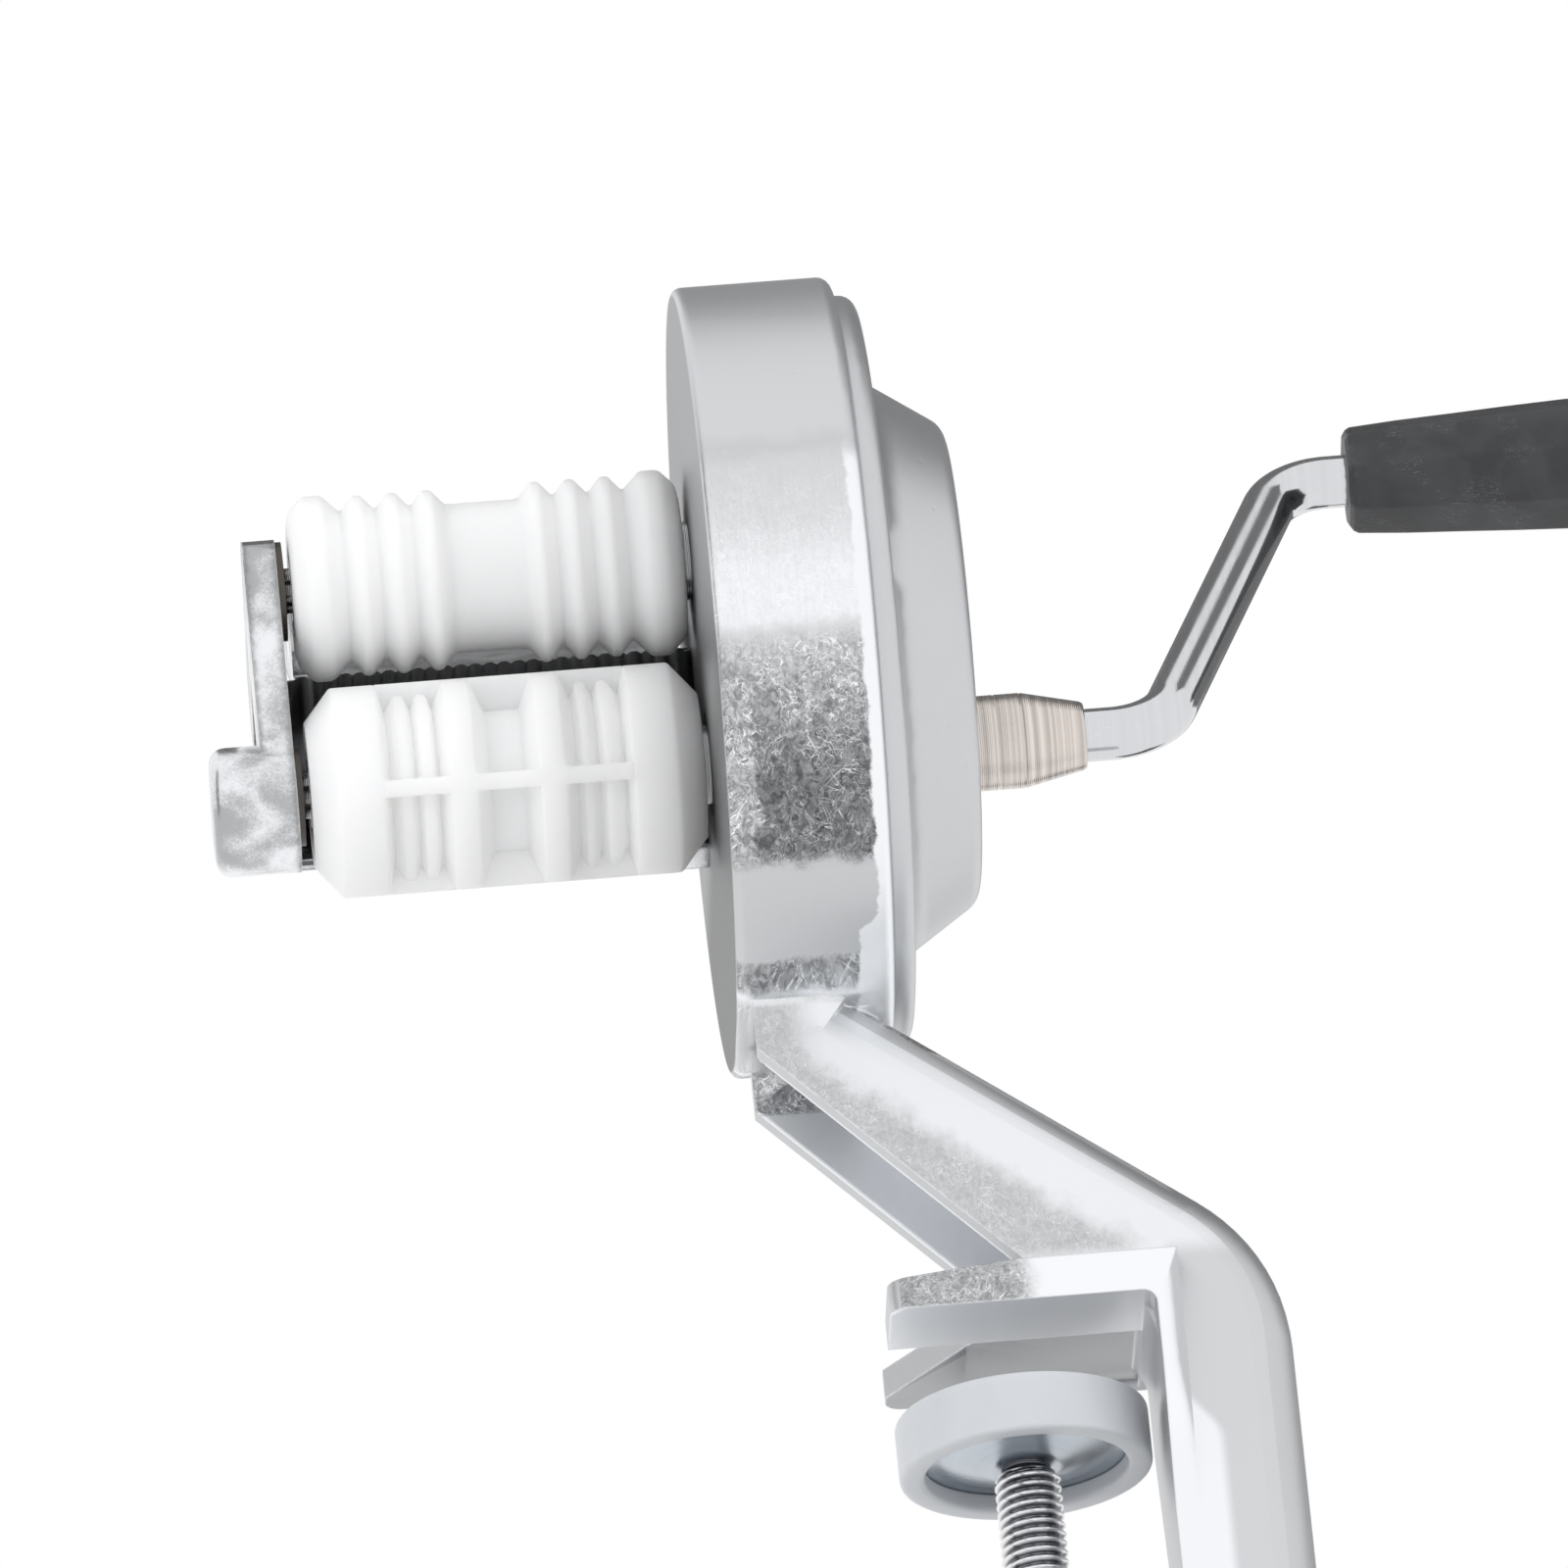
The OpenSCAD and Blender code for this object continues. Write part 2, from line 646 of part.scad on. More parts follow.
// Section of the plate from the outer arm to the drum: x is the depth behind the ribs' tips,
// y the place along the rollers. The ribs lie beside the rollers only.
module comb() {
    pitch = roller_len / plate_ribs;
    start = roller_start_x - arm_out_x;
    base = plate_rib_h + plate_t;
    polygon(concat([[base, 0], [plate_rib_h, 0], [plate_rib_h, start]],
        [for (i = [0:plate_ribs - 1]) each [[0, start + (i + rib_flat_shares[0]) * pitch],
            [0, start + (i + rib_flat_shares[1]) * pitch], [plate_rib_h, start + (i + 1) * pitch]]],
        [[plate_rib_h, -arm_out_x], [base, -arm_out_x]]));
}

// The ribbed plate: round the forming roller, then straight up to the tray's lip
module ribbed_plate() on_forming_axis() along_x(arm_out_x) {
    rotate(90) mirror([0, 1, 0]) rotate_extrude(angle = plate_sweep) translate([plate_tip_r, 0])
        comb();
    translate([forming_axis_z - tray_lip_z, 0, 0]) rotate([90, 0, 90])
        linear_extrude(tray_lip_z - forming_axis_z) translate([plate_tip_r, 0]) comb();
}

// The arm outside the rollers, with its two eyes
module outer_arm_view() {
    for (c = [feed_axis, forming_eye_c]) link(c, [plate_base_r + plate_t / 2,
        (c.y + tray_lip_z) / 2 - foot_pad_r], strut_r);
    link(feed_axis, forming_eye_c, feed_eye_r);
    translate(forming_eye_c) circle(forming_eye_r);
}

// The tray's floor
module tray_view() {
    floor_end = tray_lip + tray_len * tray_up;
    polygon([tray_lip, floor_end, floor_end - tray_t * tray_out, tray_lip - tray_t * tray_out
        + tray_t * tray_up, tray_lip + [plate_t / 2, -2 * tray_t]]);
}

// One side of the tray
module tray_side_view() {
    far = tray_lip + tray_len * tray_up;
    near = tray_lip + tray_side_h / 2 * tray_up;
    polygon([near - tray_t * tray_out, near + tray_side_h / 3 * tray_out,
        near + tray_side_h * (tray_up + tray_out), far + (tray_side_h - tray_t) * tray_out
        - tray_t * tray_up / 2, far - tray_t * tray_out]);
}

module foot_view() difference() {
    union() {
        link(foot_screws[0], foot_screws[1], foot_pad_r);
        link(foot_screws[1], foot_screws[2], foot_pad_r - over / 2);
    }
    translate(forming_axis) circle(plate_base_r + plate_t / 2);
}

module roller_frame() color([0.80, 0.81, 0.82]) difference() {
    union() {
        in_drum() end_plate(arm_out_x, end_arm_t) outer_arm_view();
        in_drum() end_plate(roller_start_x, roller_len - tray_near_gap + roller_gap) tray_view();
        in_drum() for (x = [roller_start_x, -tray_near_gap - tray_t])
            end_plate(x, tray_t) tray_side_view();
        in_drum() end_plate(-foot_t, foot_t) foot_view();
        ribbed_plate();
        in_drum() translate([0, forming_eye_c.x, forming_eye_c.y]) along_x(eye_out_x)
            rotate_extrude() polygon(concat([[0, 0]],
                arc([forming_eye_r - eye_edge_r, eye_edge_r], eye_edge_r, -90, 0),
                [[forming_eye_r, arm_in_x - eye_out_x], [0, arm_in_x - eye_out_x]]));
    }
    on_feed_axis() rod_x(arm_in_x - end_seat, end_seat + over, end_bush_d + 2 * seat_fit);
    on_forming_axis() rod_x(arm_in_x - end_seat, end_seat + over, end_bush_d + 2 * seat_fit);
    at_frame_screws() rod_x(-screw_hold - face_gap, screw_hold + face_gap + over,
        screw_shank_d + 2 * seat_fit);
}

module frame_screws() color([0.72, 0.73, 0.75]) at_frame_screws()
    machine_screw(face_wall + screw_head_h, frame_screw_len);

// Bushes

bronze = [0.72, 0.56, 0.36];

// A bush from x to x + len, its flange on the side given by way
module flanged_bush(x, len, bore, d, flange_t, way) color(bronze) difference() {
    union() {
        rod_x(x, len, d);
        rod_x(way > 0 ? x + len : x - flange_t, flange_t, d + 2 * bush_flange_w);
    }
    rod_x(x - flange_t - over, len + 2 * flange_t + 2 * over, bore + 2 * run_fit);
}

module feed_face_bush() on_feed_axis()
    flanged_bush(0, bush_boss_len, face_journal_d, face_bush_d, bush_flange_t, 1);

module forming_face_bush() on_forming_axis()
    flanged_bush(0, bush_boss_len, face_journal_d, face_bush_d, bush_flange_t, 1);

module feed_end_bush() on_feed_axis()
    flanged_bush(arm_in_x - end_seat, end_seat, end_journal_d, end_bush_d, end_gap / 2, 1);

module forming_end_bush() on_forming_axis()
    flanged_bush(arm_in_x - end_seat, end_seat, end_journal_d, end_bush_d, end_gap / 2, 1);

module cover_bush() color(bronze) on_forming_axis()
    tube_x(cover_top_x - cover_hole_depth - cover_bush_len, cover_bush_len, cover_bush_d,
        stub_d + 2 * run_fit);

// Gear train: pinion on the crank's shaft, idler on its pin, large gear on the feed shaft

pinion_idler = gear_module * (pinion_teeth + idler_teeth) / 2;
idler_feed = gear_module * (idler_teeth + feed_teeth) / 2;
idler_rise = (pinion_idler ^ 2 + roller_centres ^ 2 - idler_feed ^ 2) / (2 * roller_centres);
idler_axis = [-sqrt(pinion_idler ^ 2 - idler_rise ^ 2), forming_axis_z + idler_rise];

// Places its children on the idler's axis
module at_idler() in_drum() translate([0, idler_axis.x, idler_axis.y]) children();

// Direction from one axis to the next, in a gear's own plane
function gear_line(p, q) = atan2(q.x - p.x, p.y - q.y);

// Turn of a gear of n_b teeth that meshes along a with one of n_a teeth turned by turn_a
function mesh_turn(a, n_a, turn_a, n_b) =
    a + 180 - 360 / n_b * (0.5 - (a - turn_a) * n_a / 360);

idler_turn = mesh_turn(gear_line(forming_axis, idler_axis), pinion_teeth, 0, idler_teeth);
feed_turn = mesh_turn(gear_line(idler_axis, feed_axis), idler_teeth, idler_turn, feed_teeth);

function involute(a) = tan(a) * 180 / PI - a;

// Half the angle that a tooth of a gear with n teeth takes at radius r
function tooth_half(n, r) =
    let (pitch_r = gear_module * n / 2,
        base_r = pitch_r * cos(pressure_angle))
    90 / n - backlash / pitch_r * 90 / PI + involute(pressure_angle)
        - involute(acos(min(1, base_r / r)));

// Outline of an involute gear with n teeth, one of them on the x axis
function gear_points(n) =
    let (pitch_r = gear_module * n / 2,
        root_r = pitch_r - dedendum_share * gear_module,
        tip_r = pitch_r + addendum_share * gear_module,
        low_r = max(root_r, pitch_r * cos(pressure_angle)),
        steps = 4,
        radii = [for (i = [0:steps]) low_r + (tip_r - low_r) * i / steps])
    [for (k = [0:n - 1]) each concat(
        [root_r * unit(360 * k / n - tooth_half(n, low_r))],
        [for (r = radii) r * unit(360 * k / n - tooth_half(n, r))],
        [for (i = [steps:-1:0]) radii[i] * unit(360 * k / n + tooth_half(n, radii[i]))],
        [root_r * unit(360 * k / n + tooth_half(n, low_r))])];

module gear_blank(n, turn) along_x(gear_x) linear_extrude(gear_w) rotate(turn)
    polygon(gear_points(n));

module pinion() color([0.60, 0.61, 0.63]) on_forming_axis() difference() {
    gear_blank(pinion_teeth, 0);
    hex_x(gear_x - over, gear_w + 2 * over, gear_hex_w + 2 * seat_fit);
}

module idler_gear() color([0.60, 0.61, 0.63]) at_idler() difference() {
    gear_blank(idler_teeth, idler_turn);
    rod_x(gear_x - over, gear_w + 2 * over, stub_d + 2 * run_fit);
}

module feed_gear() color([0.60, 0.61, 0.63]) on_feed_axis() difference() {
    web_r = gear_module * feed_teeth / 2 - 2 * gear_module;
    gear_blank(feed_teeth, feed_turn);
    hex_x(gear_x - over, gear_w + 2 * over, gear_hex_w + 2 * seat_fit);
    for (x = [gear_x - over, gear_end_x - gear_w / 4])
        tube_x(x, gear_w / 4 + over, 2 * (web_r - gear_module), face_journal_d + 2 * clip_w);
}

// A retaining clip: a ring with an opening
module clip(x, d) color([0.35, 0.36, 0.38]) difference() {
    tube_x(x, clip_t, d + 2 * clip_w, d - 2 * clip_groove + 2 * seat_fit);
    translate([x - over, -d / 3, -2 * d]) cube([clip_t + 2 * over, 2 * d / 3, 2 * d]);
}

// The groove that a clip sits in
module clip_cut(x, d) tube_x(x, clip_t, 2 * d, d - 2 * clip_groove);

module pinion_clip() on_forming_axis() clip(clip_x, gear_hex_w);

module feed_gear_clip() on_feed_axis() clip(clip_x, gear_hex_w);

module idler_clip() at_idler() clip(clip_x + face_gap, stub_d);

module idler_pin() color([0.66, 0.67, 0.70]) at_idler() difference() {
    rod_x(pin_hold, clip_x + face_gap + clip_t + shaft_tail - pin_hold, stub_d);
    clip_cut(clip_x + face_gap, stub_d);
}

// Shafts

// What both shafts share, from the outer journal to the gear's seat
module shaft_body() difference() {
    seat_x = arm_in_x - end_seat + face_gap;
    union() {
        rod_x(seat_x, roller_start_x - seat_x, end_journal_d);
        hex_x(roller_start_x, roller_len, roller_hex_w);
        rod_x(roller_end_x, gear_x - roller_end_x, face_journal_d);
        hex_x(gear_x, hub_end_x - gear_x, gear_hex_w);
    }
    clip_cut(clip_x, gear_hex_w);
}

collar_x = cover_top_x - cover_hole_depth / 2;
collar_seat = 6;
rod_x0 = collar_x + collar_seat;

module feed_shaft() color([0.66, 0.67, 0.70]) on_feed_axis() shaft_body();

module forming_shaft() color([0.66, 0.67, 0.70]) on_forming_axis() {
    shaft_body();
    rod_x(hub_end_x, rod_x0 - hub_end_x, stub_d);
}

// Rollers

// Rounding of the feed roller's ridges as a share of their pitch
crest_share = 0.3;

// Half outline of the feed roller from an end to its middle, as places along it and radii
function feed_half() =
    let (flange_r = feed_flange_d / 2,
        core_r = feed_core_d / 2,
        ridge_r = feed_ridge_d / 2,
        face_r = feed_face_d / 2,
        shoulder = flange_r - face_r,
        crest = ridge_pitch * crest_share)
    concat(arc([shoulder, face_r], shoulder, 180, 90),
        arc([shoulder + crest / 2, flange_r - crest], crest, 90, 40, 3),
        [[feed_flange_len, core_r]],
        [for (i = [0:ridge_count - 1]) let (c = feed_flange_len + (i + 0.5) * ridge_pitch)
            each concat(arc([c, ridge_r - crest], crest, 140, 40, 5),
                [[c + ridge_pitch / 2, core_r]])]);

// A half outline and its mirror image, as radii and places along the roller
function both_ends(half) = concat([for (p = half) [p.y, p.x]],
    [for (i = [len(half) - 1:-1:0]) [half[i].y, roller_len - half[i].x]]);

module feed_roller() color([0.93, 0.94, 0.95]) on_feed_axis() difference() {
    along_x(roller_start_x) rotate_extrude($fn = round_fn)
        polygon(concat([[0, 0]], both_ends(feed_half()), [[0, roller_len]]));
    hex_x(roller_start_x - over, roller_len + 2 * over, roller_hex_w + 2 * seat_fit);
}

// The end chamfer's length as a share of its depth, and half a rib's flat as a share of its pitch
chamfer_share = 0.85;
field_flat_share = 0.2;
// Step of the last valley in a field
field_step = 0.25;

// Half outline of the forming roller: end land, ribbed field, land, half of the groove
function forming_half() =
    let (out_r = forming_d / 2,
        face_r = forming_face_d / 2,
        rib_pitch = rib_field / (field_ribs + 1),
        valley_r = field_valley_d / 2,
        rib_r = field_rib_d / 2,
        step = (out_r - valley_r) / 4,
        edge = (roller_len - groove_len) / 2)
    concat([[0, face_r], [(out_r - face_r) * chamfer_share, out_r], [end_land, out_r],
        [end_land + step, valley_r]],
        [for (i = [1:field_ribs]) each [[end_land + (i - field_flat_share) * rib_pitch, rib_r],
            [end_land + (i + field_flat_share) * rib_pitch, rib_r],
            [end_land + (i + 0.5) * rib_pitch, i < field_ribs ? valley_r : valley_r + field_step]]],
        [[end_land + rib_field, out_r], [edge, out_r], [edge + 2 * step, groove_d / 2]]);

// Turn of the blades at rest
blade_turn = -67;

// One blade's section: wider at its root
module blade_view() intersection() {
    circle(forming_d / 2, $fn = round_fn);
    polygon([[0, -blade_w], [forming_d / 2 + over, -blade_w / 2], [forming_d / 2 + over, blade_w / 2],
        [0, blade_w]]);
}

module forming_roller() color([0.93, 0.94, 0.95]) on_forming_axis() difference() {
    union() {
        along_x(roller_start_x) rotate_extrude($fn = round_fn)
            polygon(concat([[0, 0]], both_ends(forming_half()), [[0, roller_len]]));
        along_x(roller_start_x + end_land - over) linear_extrude(roller_len - 2 * end_land + 2 * over)
            for (i = [0:blade_count - 1]) rotate(blade_turn + 360 * i / blade_count) blade_view();
    }
    hex_x(roller_start_x - over, roller_len + 2 * over, roller_hex_w + 2 * seat_fit);
}

// Crank and grip

// Places its children in the plane of the crank's arm: X along the shaft, Z along the arm
module in_crank() on_forming_axis() rotate([-crank_lean, 0, 0]) children();

bend_x = cover_top_x + bend_out;
rod_turn = atan2(crank_r, bend_run);
rod_tangent = rod_bend_r * tan(rod_turn / 2);
grip_x = bend_x + bend_run + rod_tangent + grip_gap;
grip_end_x = grip_x + grip_len;
washer_d = 12.4;
washer_t = 1.6;
washer_seat = 8;
tenon_d = 6;
plug_t = 4;
washer_x = grip_end_x - washer_seat + face_gap;

// The straight part of the collar, as a share of its length
straight_share = 0.49;
// Chamfers at the collar's root and tip
collar_edge = 0.4;

module crank_collar() color([0.75, 0.72, 0.69]) on_forming_axis() difference() {
    root_len = cover_hole_depth / 2 + face_gap;
    along_x(collar_x) rotate_extrude() polygon([[0, 0], [collar_root_d / 2, 0],
        [collar_root_d / 2, root_len], [collar_d / 2, root_len + collar_edge],
        [collar_d / 2, collar_len * straight_share],
        [collar_neck_d / 2, collar_len - collar_edge],
        [collar_tip_d / 2, collar_len], [0, collar_len]]);
    rod_x(collar_x - over, collar_seat + 2 * over, stub_d + 2 * seat_fit);
    rod_x(rod_x0, collar_len, rod_d + 2 * seat_fit);
}

// A bend of the rod about c, from angle a on
module rod_bend(c, a) translate([c.x, 0, c.y]) rotate([90, 0, 0]) rotate([0, 0, a])
    rotate_extrude(angle = rod_turn) translate([rod_bend_r, 0]) circle(d = rod_d + 2 * bend_swell);

module crank_rod() color([0.78, 0.79, 0.81]) in_crank() {
    arm = norm([crank_r, bend_run]) - 2 * rod_tangent;
    rod_x(rod_x0, bend_x - rod_tangent - rod_x0 + bend_overlap, rod_d);
    rod_bend([bend_x - rod_tangent, rod_bend_r], -90);
    translate([bend_x, 0, 0] + rod_tangent * [cos(rod_turn), 0, sin(rod_turn)])
        rotate([0, 90 - rod_turn, 0]) translate([0, 0, -bend_overlap])
            cylinder(d = rod_d, h = arm + 2 * bend_overlap);
    rod_bend([bend_x + bend_run + rod_tangent, crank_r - rod_bend_r], 90);
    translate([0, 0, crank_r]) {
        rod_x(grip_x - grip_gap - bend_overlap, washer_x - grip_x + grip_gap + bend_overlap, rod_d);
        rod_x(washer_x, washer_t + face_gap, tenon_d);
    }
}

module rod_washer() color([0.70, 0.71, 0.73]) in_crank() translate([0, 0, crank_r])
    tube_x(washer_x, washer_t, washer_d, tenon_d + 2 * seat_fit);

// Chamfer of the grip's ends
grip_edge = 1.3;
// Swell of the grip: shares of its length, each with its share of the way to the thickest place
swell_shares = [[0.2, 0.45], [0.4, 0.85], [0.6, 1], [0.78, 0.85], [0.9, 0.4]];

// Half outline of the grip, as radii and places along it
function grip_line() = concat([[grip_start_d / 2 - grip_edge, 0], [grip_start_d / 2, grip_edge]],
    [for (p = swell_shares) let (end_d = p[0] < swell_shares[2][0] ? grip_start_d : grip_end_d)
        [end_d / 2 + (grip_max_d - end_d) / 2 * p[1], grip_len * p[0]]],
    [[grip_end_d / 2, grip_len - grip_edge], [grip_end_d / 2 - grip_edge, grip_len]]);

module grip() color([0.20, 0.20, 0.21]) in_crank() translate([0, 0, crank_r]) difference() {
    along_x(grip_x) rotate_extrude($fn = 8)
        polygon(concat([[0, 0]], grip_line(), [[0, grip_len]]));
    rod_x(grip_x - over, grip_len + 2 * over, rod_d + 2 * run_fit);
    rod_x(grip_end_x - washer_seat, washer_seat + over, washer_d + 2 * face_gap);
}

module grip_plug() color([0.20, 0.20, 0.21]) in_crank() translate([0, 0, crank_r])
    rod_x(grip_end_x - plug_t, plug_t, washer_d + 2 * face_gap - 2 * seat_fit);

// Clamp screw and pad

pad_top_z = -pad_gap;
pad_low_z = pad_top_z - pad_h;
// The dish is clipped in under the cap's top, and the screw's riveted end turns in its dome
seat_z = pad_top_z - pad_top_t;
dish_low_z = seat_z - dish_t;
hub_top_z = seat_z - dome_h;
rivet_d = 10;
hub_r = rivet_d / 2 + face_gap;
pad_in_r = pad_d / 2 - pad_rim;
pad_edge_r = 1.5;
pad_foot_r = 0.8;
dish_lip = 0.8;
dish_flat_w = 2.4;
stem_top_z = hub_top_z - dish_t - face_gap;
head_top_z = stem_top_z - stem_len;
head_edge = 1.2;
bar_z = head_top_z - head_len / 2;
bar_seat = 4;
knob_root_r = 1;
knob_end_r = 2;

module pad_cap() color([0.90, 0.91, 0.92]) rotate_extrude() {
    r = pad_d / 2;
    polygon(concat([[0, pad_top_z]],
        arc([r - pad_edge_r, pad_top_z - pad_edge_r], pad_edge_r, 90, 0),
        arc([r - pad_foot_r, pad_low_z + pad_foot_r], pad_foot_r, 0, -90, 3),
        [[pad_in_r - dish_lip, pad_low_z], [pad_in_r - dish_lip, dish_low_z],
        [pad_in_r, dish_low_z], [pad_in_r, seat_z], [0, seat_z]]));
}

module pad_dish() color([0.66, 0.70, 0.75]) rotate_extrude() {
    r = pad_in_r - seat_fit;
    hole_r = neck_d / 2 + run_fit;
    dome_r = r - dish_flat_w;
    polygon([[hole_r, hub_top_z], [hub_r, hub_top_z], [dome_r, seat_z], [r, seat_z],
        [r, dish_low_z], [dome_r, dish_low_z], [hub_r, hub_top_z - dish_t],
        [hole_r, hub_top_z - dish_t]]);
}

module clamp_screw() color([0.74, 0.75, 0.77]) difference() {
    union() {
        translate([0, 0, head_top_z]) cylinder(d = screw_d, h = stem_len - screw_pitch);
        translate([0, 0, stem_top_z - screw_pitch])
            cylinder(d1 = screw_d, d2 = neck_d + 2 * run_fit, h = screw_pitch);
        translate([0, 0, head_top_z - head_len + head_edge])
            cylinder(d = head_d, h = head_len - 2 * head_edge);
        translate([0, 0, head_top_z - head_edge])
            cylinder(d1 = head_d, d2 = head_d - 2 * head_edge, h = head_edge);
        translate([0, 0, head_top_z - head_len])
            cylinder(d1 = head_d - 2 * head_edge, d2 = head_d, h = head_edge);
        translate([0, 0, stem_top_z - screw_pitch])
            cylinder(d = neck_d, h = seat_z - face_gap - stem_top_z + screw_pitch);
        translate([0, 0, hub_top_z + face_gap]) cylinder(d = rivet_d, h = dome_h - 2 * face_gap);
    }
    translate([0, 0, bar_z]) rotate([90, 0, 0])
        cylinder(d = bar_d + 2 * seat_fit, h = head_d + 2 * over, center = true);
}

module cross_bar() color([0.72, 0.73, 0.75]) translate([0, 0, bar_z]) rotate([90, 0, 0])
    cylinder(d = bar_d, h = bar_len + 2 * bar_seat, center = true);

module bar_knobs() color([0.20, 0.20, 0.21]) translate([0, 0, bar_z]) for (s = [0, 1])
    mirror([0, s, 0]) translate([0, bar_len / 2, 0]) rotate([-90, 0, 0]) difference() {
        rotate_extrude() polygon(concat([[0, 0]], arc([knob_d / 2 - knob_root_r, knob_root_r], knob_root_r,
            -90, 0, 3), arc([knob_d / 2 - knob_end_r, knob_len - knob_end_r], knob_end_r, 0, 90, 4),
            [[0, knob_len]]));
        translate([0, 0, -over]) cylinder(d = bar_d + 2 * seat_fit, h = bar_seat + over);
    }

body_casting();
gear_cover();
cover_screws();
roller_frame();
frame_screws();
feed_face_bush();
forming_face_bush();
feed_end_bush();
forming_end_bush();
cover_bush();
idler_pin();
idler_clip();
forming_shaft();
forming_roller();
pinion();
pinion_clip();
crank_collar();
crank_rod();
rod_washer();
grip();
grip_plug();
idler_gear();
feed_shaft();
feed_roller();
feed_gear();
feed_gear_clip();
pad_cap();
pad_dish();
clamp_screw();
cross_bar();
bar_knobs();
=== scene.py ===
"""Looks, light and camera of a hand cranked pasta shell maker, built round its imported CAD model.

Sizes are written in millimetres and turned into metres where a mesh is made. X runs along the
rollers towards the crank, Z is up, and the origin is in the plane of the clamp jaw's underside.
"""

import logging
import math
from collections.abc import Callable, Sequence
from dataclasses import dataclass, field
from enum import Enum
from functools import reduce

import bmesh
import bpy
from mathutils import Matrix, Vector


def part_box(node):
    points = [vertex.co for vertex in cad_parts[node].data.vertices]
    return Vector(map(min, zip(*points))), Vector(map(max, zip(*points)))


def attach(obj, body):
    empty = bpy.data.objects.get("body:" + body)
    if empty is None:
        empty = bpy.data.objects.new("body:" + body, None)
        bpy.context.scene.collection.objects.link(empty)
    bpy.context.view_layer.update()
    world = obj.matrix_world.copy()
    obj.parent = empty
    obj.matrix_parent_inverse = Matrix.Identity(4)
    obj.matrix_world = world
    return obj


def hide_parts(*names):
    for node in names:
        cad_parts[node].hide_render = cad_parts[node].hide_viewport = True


LOG = logging.getLogger("pasta_shell_maker")
MM = 0.001

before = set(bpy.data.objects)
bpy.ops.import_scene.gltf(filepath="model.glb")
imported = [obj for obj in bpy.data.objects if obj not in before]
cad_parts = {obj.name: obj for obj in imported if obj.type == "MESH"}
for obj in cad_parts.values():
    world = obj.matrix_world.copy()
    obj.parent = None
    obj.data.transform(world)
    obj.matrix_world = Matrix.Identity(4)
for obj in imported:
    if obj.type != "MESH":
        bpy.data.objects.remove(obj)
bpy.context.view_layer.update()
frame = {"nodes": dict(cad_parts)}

Socket = bpy.types.NodeSocket
Value = Socket | float | tuple[float, ...]
Colour = tuple[float, float, float]
Point = tuple[float, float, float]
Span = tuple[float, float]


@dataclass(frozen=True)
class Layout:
    """Where the main axes and faces are, in millimetres in the row frame."""

    drum_face_x: float = -37.0
    drum_rear_x: float = -13.0
    drum_z: float = 112.0
    drum_r: float = 60.0
    flange_x: float = 20.7
    arm_start_x: float = -20.1
    arm_start_z: float = 55.75
    arm_slope: Span = (-0.6, -0.8)
    feed_z: float = 132.5
    forming_z: float = 98.7
    roller_start_x: float = -97.5
    roller_len: float = 59.5
    cover_top_x: float = 2.5
    crank_r: float = 70.0
    lean_deg: float = 36.0

    def crank_point(self, x: float, out: float) -> Point:
        """A point in the crank's plane: x along the shaft, out from its axis along the arm."""
        a = math.radians(self.lean_deg)
        return (x, out * math.sin(a), self.forming_z + out * math.cos(a))


LAYOUT = Layout()


# --- Node wiring ---------------------------------------------------------------------------------


